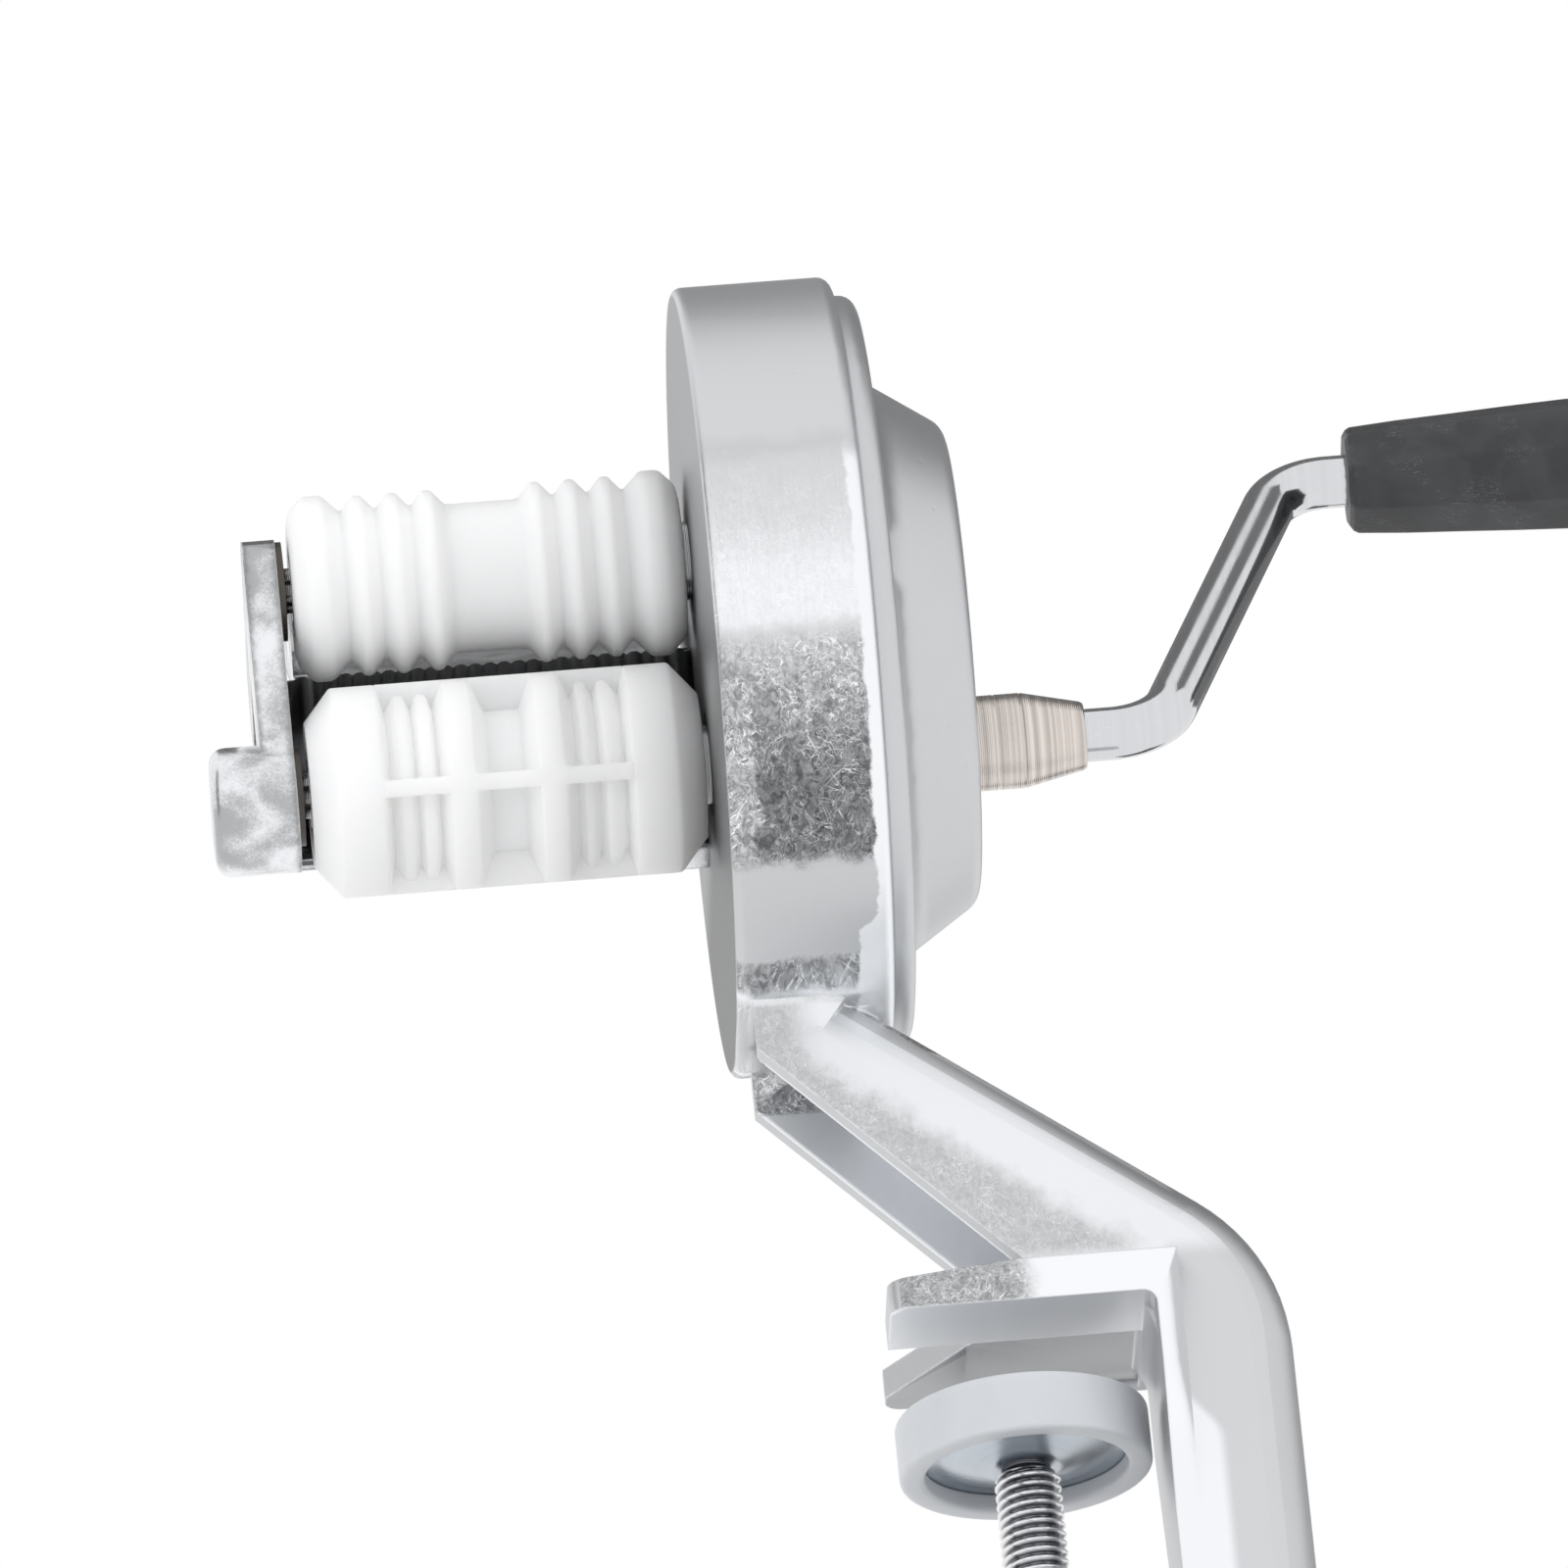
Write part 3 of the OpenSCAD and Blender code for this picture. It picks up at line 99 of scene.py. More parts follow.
@dataclass
class Wiring:
    """Adds nodes to one node tree and joins their sockets."""

    tree: bpy.types.NodeTree

    def add(self, kind: str, **settings: object) -> bpy.types.Node:
        """Adds one node.

        Args:
            kind: The node's type.
            settings: Its properties and their values.

        Returns:
            The node.
        """
        node = self.tree.nodes.new(kind)
        for key, value in settings.items():
            setattr(node, key, value)
        return node

    def put(self, target: Socket, value: Value) -> None:
        """Joins a socket to target, or sets a plain value on it.

        Args:
            target: The input to fill.
            value: An output socket, a number, or a tuple of numbers.
        """
        if isinstance(value, bpy.types.NodeSocket):
            self.tree.links.new(value, target)
        elif target.type == "RGBA" and isinstance(value, tuple) and len(value) == 3:
            target.default_value = (*value, 1.0)
        else:
            target.default_value = value

    def math(self, operation: str, a: Value, b: Value = 0.0, clamp: bool = False) -> Socket:
        """One Math node.

        Args:
            operation: Its operation.
            a: The first value.
            b: The second value.
            clamp: Whether the result is kept between 0 and 1.

        Returns:
            The result's socket.
        """
        node = self.add("ShaderNodeMath", operation=operation, use_clamp=clamp)
        self.put(node.inputs[0], a)
        self.put(node.inputs[1], b)
        return node.outputs[0]

    def product(self, *factors: Value) -> Socket:
        """The product of its factors."""
        return reduce(lambda a, b: self.math("MULTIPLY", a, b), factors)

    def total(self, *terms: Value) -> Socket:
        """The sum of its terms."""
        return reduce(lambda a, b: self.math("ADD", a, b), terms)

    def less(self, a: Value, b: Value) -> Socket:
        """The first value less the second."""
        return self.math("SUBTRACT", a, b)

    def highest(self, *values: Value) -> Socket:
        """The highest of its values."""
        return reduce(lambda a, b: self.math("MAXIMUM", a, b), values)

    def size(self, value: Value) -> Socket:
        """A value without its sign."""
        return self.math("ABSOLUTE", value)

    def axes(self, vector: Value) -> tuple[Socket, Socket, Socket]:
        """A vector's three parts."""
        node = self.add("ShaderNodeSeparateXYZ")
        self.put(node.inputs[0], vector)
        return node.outputs[0], node.outputs[1], node.outputs[2]

    def joined(self, x: Value, y: Value, z: Value) -> Socket:
        """A vector of three parts."""
        node = self.add("ShaderNodeCombineXYZ")
        for target, value in zip(node.inputs, (x, y, z)):
            self.put(target, value)
        return node.outputs[0]

    def facing(self) -> tuple[Socket, Socket, Socket]:
        """The three parts of the surface's true normal."""
        return self.axes(self.add("ShaderNodeNewGeometry").outputs["True Normal"])

    def stretched(self, vector: Value, scale: Point) -> Socket:
        """A vector scaled on each axis."""
        return self.vector("MULTIPLY", vector, scale).outputs[0]

    def vector(self, operation: str, a: Value, b: Value = (0.0, 0.0, 0.0)) -> bpy.types.Node:
        """One Vector Math node.

        Args:
            operation: Its operation.
            a: The first vector.
            b: The second vector.

        Returns:
            The node.
        """
        node = self.add("ShaderNodeVectorMath", operation=operation)
        self.put(node.inputs[0], a)
        self.put(node.inputs[1], b)
        return node

    def remap(self, value: Value, low: float, high: float, to_low: float = 0.0,
              to_high: float = 1.0) -> Socket:
        """A smooth step from one range to another.

        Args:
            value: The value to carry over.
            low: Where the step starts.
            high: Where it ends.
            to_low: The result at low.
            to_high: The result at high.

        Returns:
            The result's socket.
        """
        node = self.add("ShaderNodeMapRange", interpolation_type="SMOOTHSTEP")
        for name, v in (("Value", value), ("From Min", low), ("From Max", high),
                        ("To Min", to_low), ("To Max", to_high)):
            self.put(node.inputs[name], v)
        return node.outputs[0]

    def mix(self, factor: Value, a: Value, b: Value) -> Socket:
        """A colour between a and b.

        Args:
            factor: The share of b.
            a: The first colour.
            b: The second colour.

        Returns:
            The colour's socket.
        """
        node = self.add("ShaderNodeMix", data_type="RGBA")
        self.put(node.inputs[0], factor)
        self.put(node.inputs[6], a)
        self.put(node.inputs[7], b)
        return node.outputs[2]

    def mix_value(self, factor: Value, a: Value, b: Value) -> Socket:
        """A number between a and b.

        Args:
            factor: The share of b.
            a: The first number.
            b: The second number.

        Returns:
            The number's socket.
        """
        node = self.add("ShaderNodeMix", data_type="FLOAT")
        self.put(node.inputs[0], factor)
        self.put(node.inputs[2], a)
        self.put(node.inputs[3], b)
        return node.outputs[0]

    def surface(self, kind: str, shader: Socket) -> None:
        """Makes a shader the surface of an output node of a kind."""
        self.tree.links.new(shader, self.add(kind).inputs["Surface"])

    def ramp(self, value: Value, stops: Sequence[tuple[float, Colour]]) -> bpy.types.Node:
        """Three numbers that run through stops as a value goes from 0 to 1.

        Args:
            value: The value.
            stops: Place and numbers of each stop, in order.

        Returns:
            A node whose outputs are the three numbers.
        """
        ramp = self.add("ShaderNodeValToRGB")
        places = ramp.color_ramp.elements
        for index, (place, numbers) in enumerate(stops):
            stop = places[index] if index < 2 else places.new(place)
            stop.position = place
            stop.color = (*numbers, 1.0)
        self.put(ramp.inputs[0], value)
        split = self.add("ShaderNodeSeparateColor")
        self.put(split.inputs[0], ramp.outputs[0])
        return split

    def noise(self, vector: Value, scale: float = 1.0, detail: float = 2.0, rough: float = 0.5,
              warp: float = 0.0) -> Socket:
        """A noise value over a vector.

        Args:
            vector: The place.
            scale: Waves per unit of the vector.
            detail: Octaves.
            rough: Share of each finer octave.
            warp: Distortion.

        Returns:
            The value's socket.
        """
        node = self.add("ShaderNodeTexNoise")
        for name, v in (("Vector", vector), ("Scale", scale), ("Detail", detail),
                        ("Roughness", rough), ("Distortion", warp)):
            self.put(node.inputs[name], v)
        return node.outputs["Fac"]

    def bump(self, height: Value, strength: float, distance: float,
             normal: Socket | None = None) -> Socket:
        """A normal bumped by a height.

        Args:
            height: The height, from 0 to 1.
            strength: The node's strength.
            distance: What a height of 1 stands for, in metres.
            normal: The normal that it starts from.

        Returns:
            The normal's socket.
        """
        node = self.add("ShaderNodeBump")
        self.put(node.inputs["Strength"], strength)
        self.put(node.inputs["Distance"], distance)
        self.put(node.inputs["Height"], height)
        if normal is not None:
            self.put(node.inputs["Normal"], normal)
        return node.outputs["Normal"]


class Effect(Enum):
    """The shared surface effects, each a shader node group that is built once."""

    EDGE_MARK = "edge_mark"
    CAST_SKIN = "cast_skin"
    LINISHED = "linished"
    TURNED = "turned"
    SCUFFS = "scuffs"


FLOAT, VECTOR = "NodeSocketFloat", "NodeSocketVector"


def start_group(effect: Effect, inputs: dict[str, float | None],
                outputs: dict[str, str]) -> tuple[Wiring, bpy.types.Node, bpy.types.Node]:
    """Opens a shader node group with named sockets.

    Args:
        effect: The effect that names the group.
        inputs: Name and default of each input, None for a vector.
        outputs: Name and type of each output.

    Returns:
        The group's wiring, its input node and its output node.
    """
    tree = bpy.data.node_groups.new(effect.value, "ShaderNodeTree")
    for name, default in inputs.items():
        kind = VECTOR if default is None else FLOAT
        socket = tree.interface.new_socket(name, in_out="INPUT", socket_type=kind)
        if default is not None:
            socket.default_value = default
    for name, kind in outputs.items():
        tree.interface.new_socket(name, in_out="OUTPUT", socket_type=kind)
    wires = Wiring(tree)
    return wires, wires.add("NodeGroupInput"), wires.add("NodeGroupOutput")


def build_edge_mark() -> None:
    """Edge marks: rounds the normal over edges and marks where it turned; brightened they give wear
    with painted highlights, darkened they give painted dark reflections.
    """
    w, given, result = start_group(Effect.EDGE_MARK, {"Vector": None, "Radius": 0.0006,
                                                      "Gain": 3.0},
                                   {"Mark": FLOAT, "Normal": VECTOR})
    bevel = w.add("ShaderNodeBevel", samples=6)
    w.put(bevel.inputs["Radius"], given.outputs["Radius"])
    geometry = w.add("ShaderNodeNewGeometry")
    same = w.vector("DOT_PRODUCT", bevel.outputs[0], geometry.outputs["Normal"])
    patches = w.noise(given.outputs["Vector"], scale=0.9, detail=3.0, rough=0.6)
    gain = w.product(w.remap(patches, 0.35, 0.6, 0.45, 1.3), given.outputs["Gain"])
    edge_marks = w.math("MULTIPLY", w.less(1.0, same.outputs["Value"]), gain, clamp=True)
    w.put(result.inputs["Mark"], edge_marks)
    w.put(result.inputs["Normal"], bevel.outputs[0])


def build_cast_skin() -> None:
    """The skin of a die casting: soft mottling, fine grain and a few pits."""
    w, given, result = start_group(Effect.CAST_SKIN, {"Vector": None},
                                   {"Tone": FLOAT, "Height": FLOAT})
    place = given.outputs["Vector"]
    clouds = w.noise(place, scale=0.055, detail=3.0, rough=0.55, warp=0.6)
    grain = w.noise(place, scale=2.6, rough=0.6)
    pits = w.add("ShaderNodeTexVoronoi", feature="F1")
    w.put(pits.inputs["Vector"], place)
    w.put(pits.inputs["Scale"], 0.16)
    pit = w.remap(pits.outputs["Distance"], 0.04, 0.075, -0.5, 0.0)
    w.put(result.inputs["Tone"], w.total(w.product(clouds, 0.8), w.product(grain, 0.2),
                                         w.product(pit, 0.5)))
    w.put(result.inputs["Height"], w.total(w.product(grain, 0.35), pit))


def build_linished() -> None:
    """Metal dressed on a belt: streaks along the vector's Z, cross scratches and bright nicks."""
    w, given, result = start_group(Effect.LINISHED, {"Vector": None, "Speckle": 0.5},
                                   {"Tone": FLOAT, "Nicks": FLOAT, "Height": FLOAT})
    place = given.outputs["Vector"]
    streaks = w.noise(w.stretched(place, (2.2, 2.2, 0.22)), detail=4.0, rough=0.62, warp=0.3)
    fine = w.noise(w.stretched(place, (7.0, 7.0, 0.7)), rough=0.6)
    soft = w.total(w.product(streaks, 0.65), w.product(fine, 0.35))
    clouds = w.remap(w.noise(place, scale=0.8, detail=5.0, rough=0.75, warp=1.2), 0.32, 0.68)
    bend = w.noise(place, scale=0.32, rough=0.55, warp=2.6)
    fold = w.remap(w.size(w.less(bend, 0.5)), 0.03, 0.006)
    fold = w.product(fold, w.remap(w.noise(place, scale=0.3), 0.4, 0.6))
    hard = w.total(w.product(clouds, 0.75), w.product(fold, 0.9))
    blend = w.mix_value(given.outputs["Speckle"], soft, hard)
    marks: list[Socket] = []
    for turn, limit in ((0.5, 0.012), (-0.9, 0.01), (1.35, 0.012)):
        turned = w.add("ShaderNodeVectorRotate", rotation_type="Y_AXIS")
        w.put(turned.inputs["Vector"], place)
        w.put(turned.inputs["Angle"], turn)
        line = w.noise(w.stretched(turned.outputs[0], (0.7, 0.7, 0.1)), detail=1.0, warp=0.8)
        marks.append(w.remap(w.size(w.less(line, 0.56)), limit, 0.0))
    rare = w.remap(w.noise(place, scale=0.11, detail=1.0), 0.5, 0.62)
    w.put(result.inputs["Tone"], blend)
    w.put(result.inputs["Nicks"], w.product(w.highest(*marks), rare))
    w.put(result.inputs["Height"], blend)


def build_turned() -> None:
    """Fine turning marks: rings that change along one coordinate only."""
    w, given, result = start_group(Effect.TURNED, {"Along": 0.0, "Pitch": 0.25},
                                   {"Tone": FLOAT, "Height": FLOAT})
    place = w.math("DIVIDE", given.outputs["Along"], given.outputs["Pitch"])
    coarse = w.add("ShaderNodeTexNoise", noise_dimensions="1D")
    for name, value in (("W", place), ("Scale", 0.35), ("Detail", 3.0)):
        w.put(coarse.inputs[name], value)
    wave = w.math("SINE", w.product(place, 2 * math.pi))
    w.put(result.inputs["Tone"], coarse.outputs["Fac"])
    w.put(result.inputs["Height"], w.total(w.product(wave, 0.22),
                                           w.product(coarse.outputs["Fac"], 0.9)))


def build_scuffs() -> None:
    """Handling marks: soft smudges and short pale scuffs."""
    w, given, result = start_group(Effect.SCUFFS, {"Vector": None, "Amount": 0.5},
                                   {"Smudge": FLOAT, "Scuff": FLOAT, "Height": FLOAT})
    place = given.outputs["Vector"]
    lines = w.noise(w.stretched(place, (0.35, 1.4, 1.4)), detail=3.0, rough=0.6, warp=1.2)
    mark = w.remap(w.size(w.less(lines, 0.5)), 0.012, 0.0)
    where = w.remap(w.noise(place, scale=0.16), 0.52, 0.64)
    scuff = w.math("MULTIPLY", w.product(mark, where), given.outputs["Amount"], clamp=True)
    w.put(result.inputs["Smudge"], w.noise(place, scale=0.12, detail=3.0, rough=0.55, warp=0.4))
    w.put(result.inputs["Scuff"], scuff)
    w.put(result.inputs["Height"], w.noise(place, scale=1.9, detail=3.0, rough=0.6))


BUILDERS: dict[Effect, Callable[[], None]] = {
    Effect.EDGE_MARK: build_edge_mark, Effect.CAST_SKIN: build_cast_skin,
    Effect.LINISHED: build_linished, Effect.TURNED: build_turned, Effect.SCUFFS: build_scuffs,
}


@dataclass
class Surface:
    """One material while its nodes are being wired."""

    name: str
    material: bpy.types.Material = field(init=False)
    w: Wiring = field(init=False)
    shader: bpy.types.Node = field(init=False)
    place: Socket = field(init=False)
    xyz: tuple[Socket, Socket, Socket] = field(init=False)

    def __post_init__(self) -> None:
        """Opens the material, with its place in millimetres in the row frame."""
        self.material = bpy.data.materials.new(self.name)
        self.material.use_nodes = True
        tree = self.material.node_tree
        tree.nodes.clear()
        self.w = Wiring(tree)
        self.shader = self.w.add("ShaderNodeBsdfPrincipled")
        self.w.surface("ShaderNodeOutputMaterial", self.shader.outputs[0])
        coordinates = self.w.add("ShaderNodeTexCoord")
        mapping = self.w.add("ShaderNodeMapping")
        mapping.inputs["Scale"].default_value = (1 / MM, 1 / MM, 1 / MM)
        tree.links.new(coordinates.outputs["Object"], mapping.inputs["Vector"])
        self.place = mapping.outputs[0]
        self.xyz = self.w.axes(self.place)

    def effect(self, effect: Effect, **inputs: Value) -> bpy.types.Node:
        """Places one shared effect.

        Args:
            effect: The effect.
            inputs: Its inputs by name.

        Returns:
            The group's node.
        """
        if effect.value not in bpy.data.node_groups:
            BUILDERS[effect]()
        node = self.w.add("ShaderNodeGroup", node_tree=bpy.data.node_groups[effect.value])
        for name, value in inputs.items():
            self.w.put(node.inputs[name], value)
        return node

    def marked_edge(self, radius: float, gain: float) -> bpy.types.Node:
        """Places the edge marks, its radius in metres; they carry wear with painted highlights, and on
        the roller frame painted dark reflections.
        """
        return self.effect(Effect.EDGE_MARK, Vector=self.place, Radius=radius, Gain=gain)

    def scuffs(self, amount: float) -> bpy.types.Node:
        """Places the handling marks."""
        return self.effect(Effect.SCUFFS, Vector=self.place, Amount=amount)

    def smudged(self, marks: bpy.types.Node, rough: float, swing: float) -> Socket:
        """A roughness that the smudges change.

        Args:
            marks: The handling marks' node.
            rough: The roughness in the middle of their range.
            swing: How far it goes from the least to the most.

        Returns:
            The roughness's socket.
        """
        return self.w.total(self.w.product(marks.outputs["Smudge"], swing), rough - swing / 2)

    def set(self, **inputs: Value) -> None:
        """Sets the shader's inputs, an underscore standing for each space in a name."""
        for name, value in inputs.items():
            self.w.put(self.shader.inputs[name.replace("_", " ")], value)


class Zone(Enum):
    """Which casting a cast finish is for."""

    BODY = "cast_body"
    COVER = "cast_cover"
    FRAME = "cast_frame"


@dataclass(frozen=True)
class Tones:
    """How bright the castings are; a pair is plain then glare, or near then far."""

    satin: float = 0.615
    cover_lift: float = 0.02
    arm: Span = (0.60, 0.89)
    jaw: Span = (0.46, 0.96)
    back: Span = (0.68, 0.93)
    # Painted light and shade under the jaw: near prong light, far part dark.
    jaw_under: Span = (0.88, 0.46)
    # Painted shade on the drum's front face, top then bottom.
    face: Span = (0.34, 0.15)
    # Painted light in the channel behind the arm, brighter than the satin.
    hollow: float = 0.93
    # Painted shade at the channel's top end.
    hollow_end_shade: float = 0.42
    # Painted highlight on the rim: a lighter front strip and a bright rear edge.
    rim_strip_light: float = 0.52
    rim_rear_highlight: float = 0.94
    frame: Span = (0.46, 0.90)
    # Painted dark reflection on the frame's rounded edges.
    frame_edge_reflection: float = 0.2
    # Painted shade on the plate behind the rollers.
    plate: float = 0.10
    glint: float = 0.93
    # Edge brightness: partly wear, partly painted highlight.
    wear_and_highlight: float = 0.95
    brightest: float = 0.96


@dataclass(frozen=True)
class Borders:
    """Where each tone of the castings starts and is full, in millimetres, or degrees for a turn."""

    plate_front_y: Span = (10.0, 12.0)
    plate_rear_y: Span = (20.6, 20.0)
    plate_top_z: Span = (127.5, 126.0)
    glare_depth: Span = (16.5, 11.5)
    glare_x: Span = (-31.0, -24.0)
    jaw_side_y: Span = (16.0, 18.5)
    jaw_glare_x: Span = (-1.0, 4.0)
    back_strip_z: Span = (-12.0, -22.0)
    back_strip_w: Span = (2.5, 8.0)
    clamp_z: Span = (11.0, 7.0)
    rim_inside: Span = (-1.4, -0.6)
    rim_outside: Span = (1.2, 0.4)
    strip_depth: Span = (4.9, 3.9)
    strip_turn: Span = (-10.0, -20.0)
    rear_turn: Span = (-60.0, -64.0)
    rear_depth: Span = (-2.4, -5.6)
    rear_top_turn: Span = (13.0, 8.0)
    arm_top_z: Span = (55.0, 53.5)
    face_low_z: Span = (53.0, 53.5)
    face_shade: Span = (-12.0, -26.0)
    under_z: Span = (10.0, 5.0)
    under_y: Span = (-4.5, -3.5)
    hollow_y: Span = (11.0, 10.4)
    hollow_top_z: Span = (53.0, 51.5)
    hollow_low_z: Span = (6.2, 6.8)
    hollow_rear_x: Span = (26.0, 24.0)
    hollow_end_z: Span = (44.5, 45.5)


@dataclass(frozen=True)
class CastFinish:
    """Die cast metal: satin where the die left it, bright and scratched where it was dressed, with
    painted glare, shade and reflection bands in its tone.
    """

    zone: Zone
    tones: Tones = Tones()
    at: Borders = Borders()
    tint: Colour = (0.982, 1.0, 1.026)
    rough: float = 0.42
    polish: float = 0.16
    # How far the borders waver, in millimetres or degrees
    side_waver: float = 7.0
    band_waver: float = 5.0
    strip_waver: float = 5.6
    rear_waver: float = 3.0
    arm_speckle: float = 0.42
    jaw_speckle: Span = (0.05, 0.7)
    # Part of a normal at which a face begins to count as turned that way, and fully does
    flat: Span = (0.85, 0.97)
    # Bands round the rim, painted reflection in light and dark tones over real dressing speckle: angle
    # above its nearest point, tone and speckle
    rim_bands: tuple[Point, ...] = (
        (-90.0, 0.62, 0.3), (-78.0, 0.64, 0.4), (-75.5, 0.92, 0.1), (-73.5, 0.55, 0.8),
        (-69.0, 0.42, 0.8), (-67.5, 0.63, 0.08), (-51.5, 0.62, 0.06), (-49.5, 0.24, 0.9),
        (-38.0, 0.22, 1.0), (-26.0, 0.44, 0.8), (-19.0, 0.60, 0.6), (-16.5, 0.72, 0.2),
        (-14.5, 0.90, 0.25), (-8.0, 0.90, 0.3), (0.0, 0.74, 0.3), (9.0, 0.68, 0.2),
        (12.0, 0.62, 0.05), (15.0, 0.68, 0.0), (90.0, 0.72, 0.0))

    def build(self) -> bpy.types.Material:
        """Builds the material for its zone."""
        s = Surface(self.zone.value)
        cast = s.effect(Effect.CAST_SKIN, Vector=s.place)
        mottle = s.w.remap(cast.outputs["Tone"], 0.2, 0.8, 0.975, 1.02)
        height = cast.outputs["Height"]
        if self.zone is Zone.COVER:
            lifted = self.tones.satin + self.tones.cover_lift
            self.finish(s, s.w.product(mottle, lifted), 0.0, height)
        elif self.zone is Zone.FRAME:
            self.build_frame(s, height)
        else:
            self.build_body(s, mottle, height)
        return s.material

    def finish(self, s: Surface, tone: Socket, dressed: Value, height: Socket) -> None:
        """Turns the tone into the surface's colour, and sets the other sockets.

        Args:
            s: The material's surface.
            tone: How bright the metal is.
            dressed: 1 where the surface was dressed, 0 on the die's satin.
            height: What the bump follows.
        """
        w = s.w
        edge_marks = s.marked_edge(radius=0.0006, gain=3.0)
        # Worn edges brightened, partly as a painted highlight.
        tone = w.mix_value(edge_marks.outputs["Mark"], tone, self.tones.wear_and_highlight)
        colour = w.vector("SCALE", self.tint)
        w.put(colour.inputs["Scale"], w.math("MINIMUM", tone, self.tones.brightest))
        s.set(Base_Color=colour.outputs[0], Metallic=1.0,
              Roughness=w.total(w.product(dressed, -self.polish), self.rough),
              Normal=w.bump(height, strength=0.3, distance=0.0002, normal=edge_marks.outputs["Normal"]))

    def build_frame(self, s: Surface, height: Socket) -> None:
        """The roller frame: tumbled bright with painted dark reflections on its rounded edges, its
        ribbed plate given painted shade behind the rollers.

        Args:
            s: The material's surface.
            height: The cast skin's height.
        """
        w, at, tones = s.w, self.at, self.tones
        _, y, z = s.xyz
        clouds = w.noise(s.place, scale=0.12, warp=0.4)
        grain = w.noise(s.place, scale=2.2, detail=3.0, rough=0.7, warp=0.4)
        blend = w.total(w.product(clouds, 0.75), w.product(grain, 0.25))
        # Painted dark reflection on the frame's rounded edges.
        edge = s.marked_edge(radius=0.0022, gain=6.0).outputs["Mark"]
        tone = w.mix_value(edge, w.remap(blend, 0.40, 0.62, *tones.frame), tones.frame_edge_reflection)
        # Painted shade on the ribbed plate behind the rollers.
        ribbed = w.product(w.remap(y, *at.plate_front_y), w.remap(y, *at.plate_rear_y),
                           w.remap(z, *at.plate_top_z),
                           w.remap(w.facing()[0], -self.flat[1], -self.flat[0]))
        tone = w.mix_value(ribbed, tone, tones.plate)
        self.finish(s, tone, w.less(1.0, ribbed), height)

    def side_tone(self, s: Surface, broken: Socket) -> tuple[Socket, Socket]:
        """Tone and speckle of the arm's, the jaw's and the back's ground sides.

        Args:
            s: The material's surface.
            broken: A noise about zero that breaks the borders.

        Returns:
            The tone and the speckle.
        """
        w, at, tones = s.w, self.at, self.tones
        x, y, z = s.xyz
        ragged = w.product(broken, self.side_waver)
        depth = w.total(w.product(w.less(x, LAYOUT.arm_start_x), LAYOUT.arm_slope[0]),
                        w.product(w.less(z, LAYOUT.arm_start_z), LAYOUT.arm_slope[1]), ragged)
        glare = w.product(w.remap(depth, *at.glare_depth), w.remap(x, *at.glare_x))
        outer = w.remap(w.size(y), *at.jaw_side_y)
        along = w.less(x, ragged)
        jaw = w.mix_value(w.remap(along, *at.jaw_glare_x), *tones.jaw)
        wide = w.remap(z, *at.back_strip_z, *at.back_strip_w)
        strip = w.remap(w.less(w.less(x, LAYOUT.flange_x), wide), 1.0, -1.0)
        low = w.mix_value(outer, w.mix_value(strip, *tones.back), jaw)
        below = w.remap(z, *at.clamp_z)
        tone = w.mix_value(below, w.mix_value(glare, *tones.arm), low)
        arm_speckle = w.product(w.less(1.0, glare), self.arm_speckle)
        jaw_speckle = w.product(outer, w.remap(along, at.jaw_glare_x[1], at.jaw_glare_x[0],
                                               *self.jaw_speckle))
        return tone, w.mix_value(below, arm_speckle, jaw_speckle)

    def rim_tone(self, s: Surface, turn: Socket, broken: Socket) -> tuple[Socket, Socket]:
        """Tone and speckle of the rim: painted reflection bands round it, a lighter painted strip at
        the front and a painted highlight along the rear edge.

        Args:
            s: The material's surface.
            turn: The angle above the rim's nearest point, in degrees.
            broken: A noise about zero that breaks the borders.

        Returns:
            The tone and the speckle.
        """
        w, at, x = s.w, self.at, s.xyz[0]
        turn = w.total(turn, w.product(broken, self.band_waver))
        # Painted reflection bands, light and dark round the rim, laid into the tone.
        band = w.ramp(w.math("DIVIDE", w.total(turn, 90.0), 180.0),
                      [((t + 90.0) / 180.0, (tone, spot, 0.0)) for t, tone, spot in self.rim_bands])
        tone, speckle = band.outputs[0], band.outputs[1]
        # Painted highlight: a lighter strip along the rim's front edge, over the dark bands.
        front = w.less(w.total(x, w.product(broken, self.strip_waver)), LAYOUT.drum_face_x)
        strip = w.product(w.remap(front, *at.strip_depth), w.remap(turn, *at.strip_turn))
        tone = w.mix_value(strip, tone, w.highest(tone, self.tones.rim_strip_light))
        # Painted highlight along the rim's rear edge.
        rear = w.less(w.total(x, w.product(broken, self.rear_waver)), LAYOUT.drum_rear_x)
        rear = w.less(rear, w.remap(turn, *at.rear_turn, *at.rear_depth))
        edge = w.product(w.remap(rear, -0.3, 0.3), w.remap(turn, *at.rear_top_turn))
        return (w.mix_value(edge, tone, self.tones.rim_rear_highlight),
                w.product(speckle, w.less(1.0, edge)))

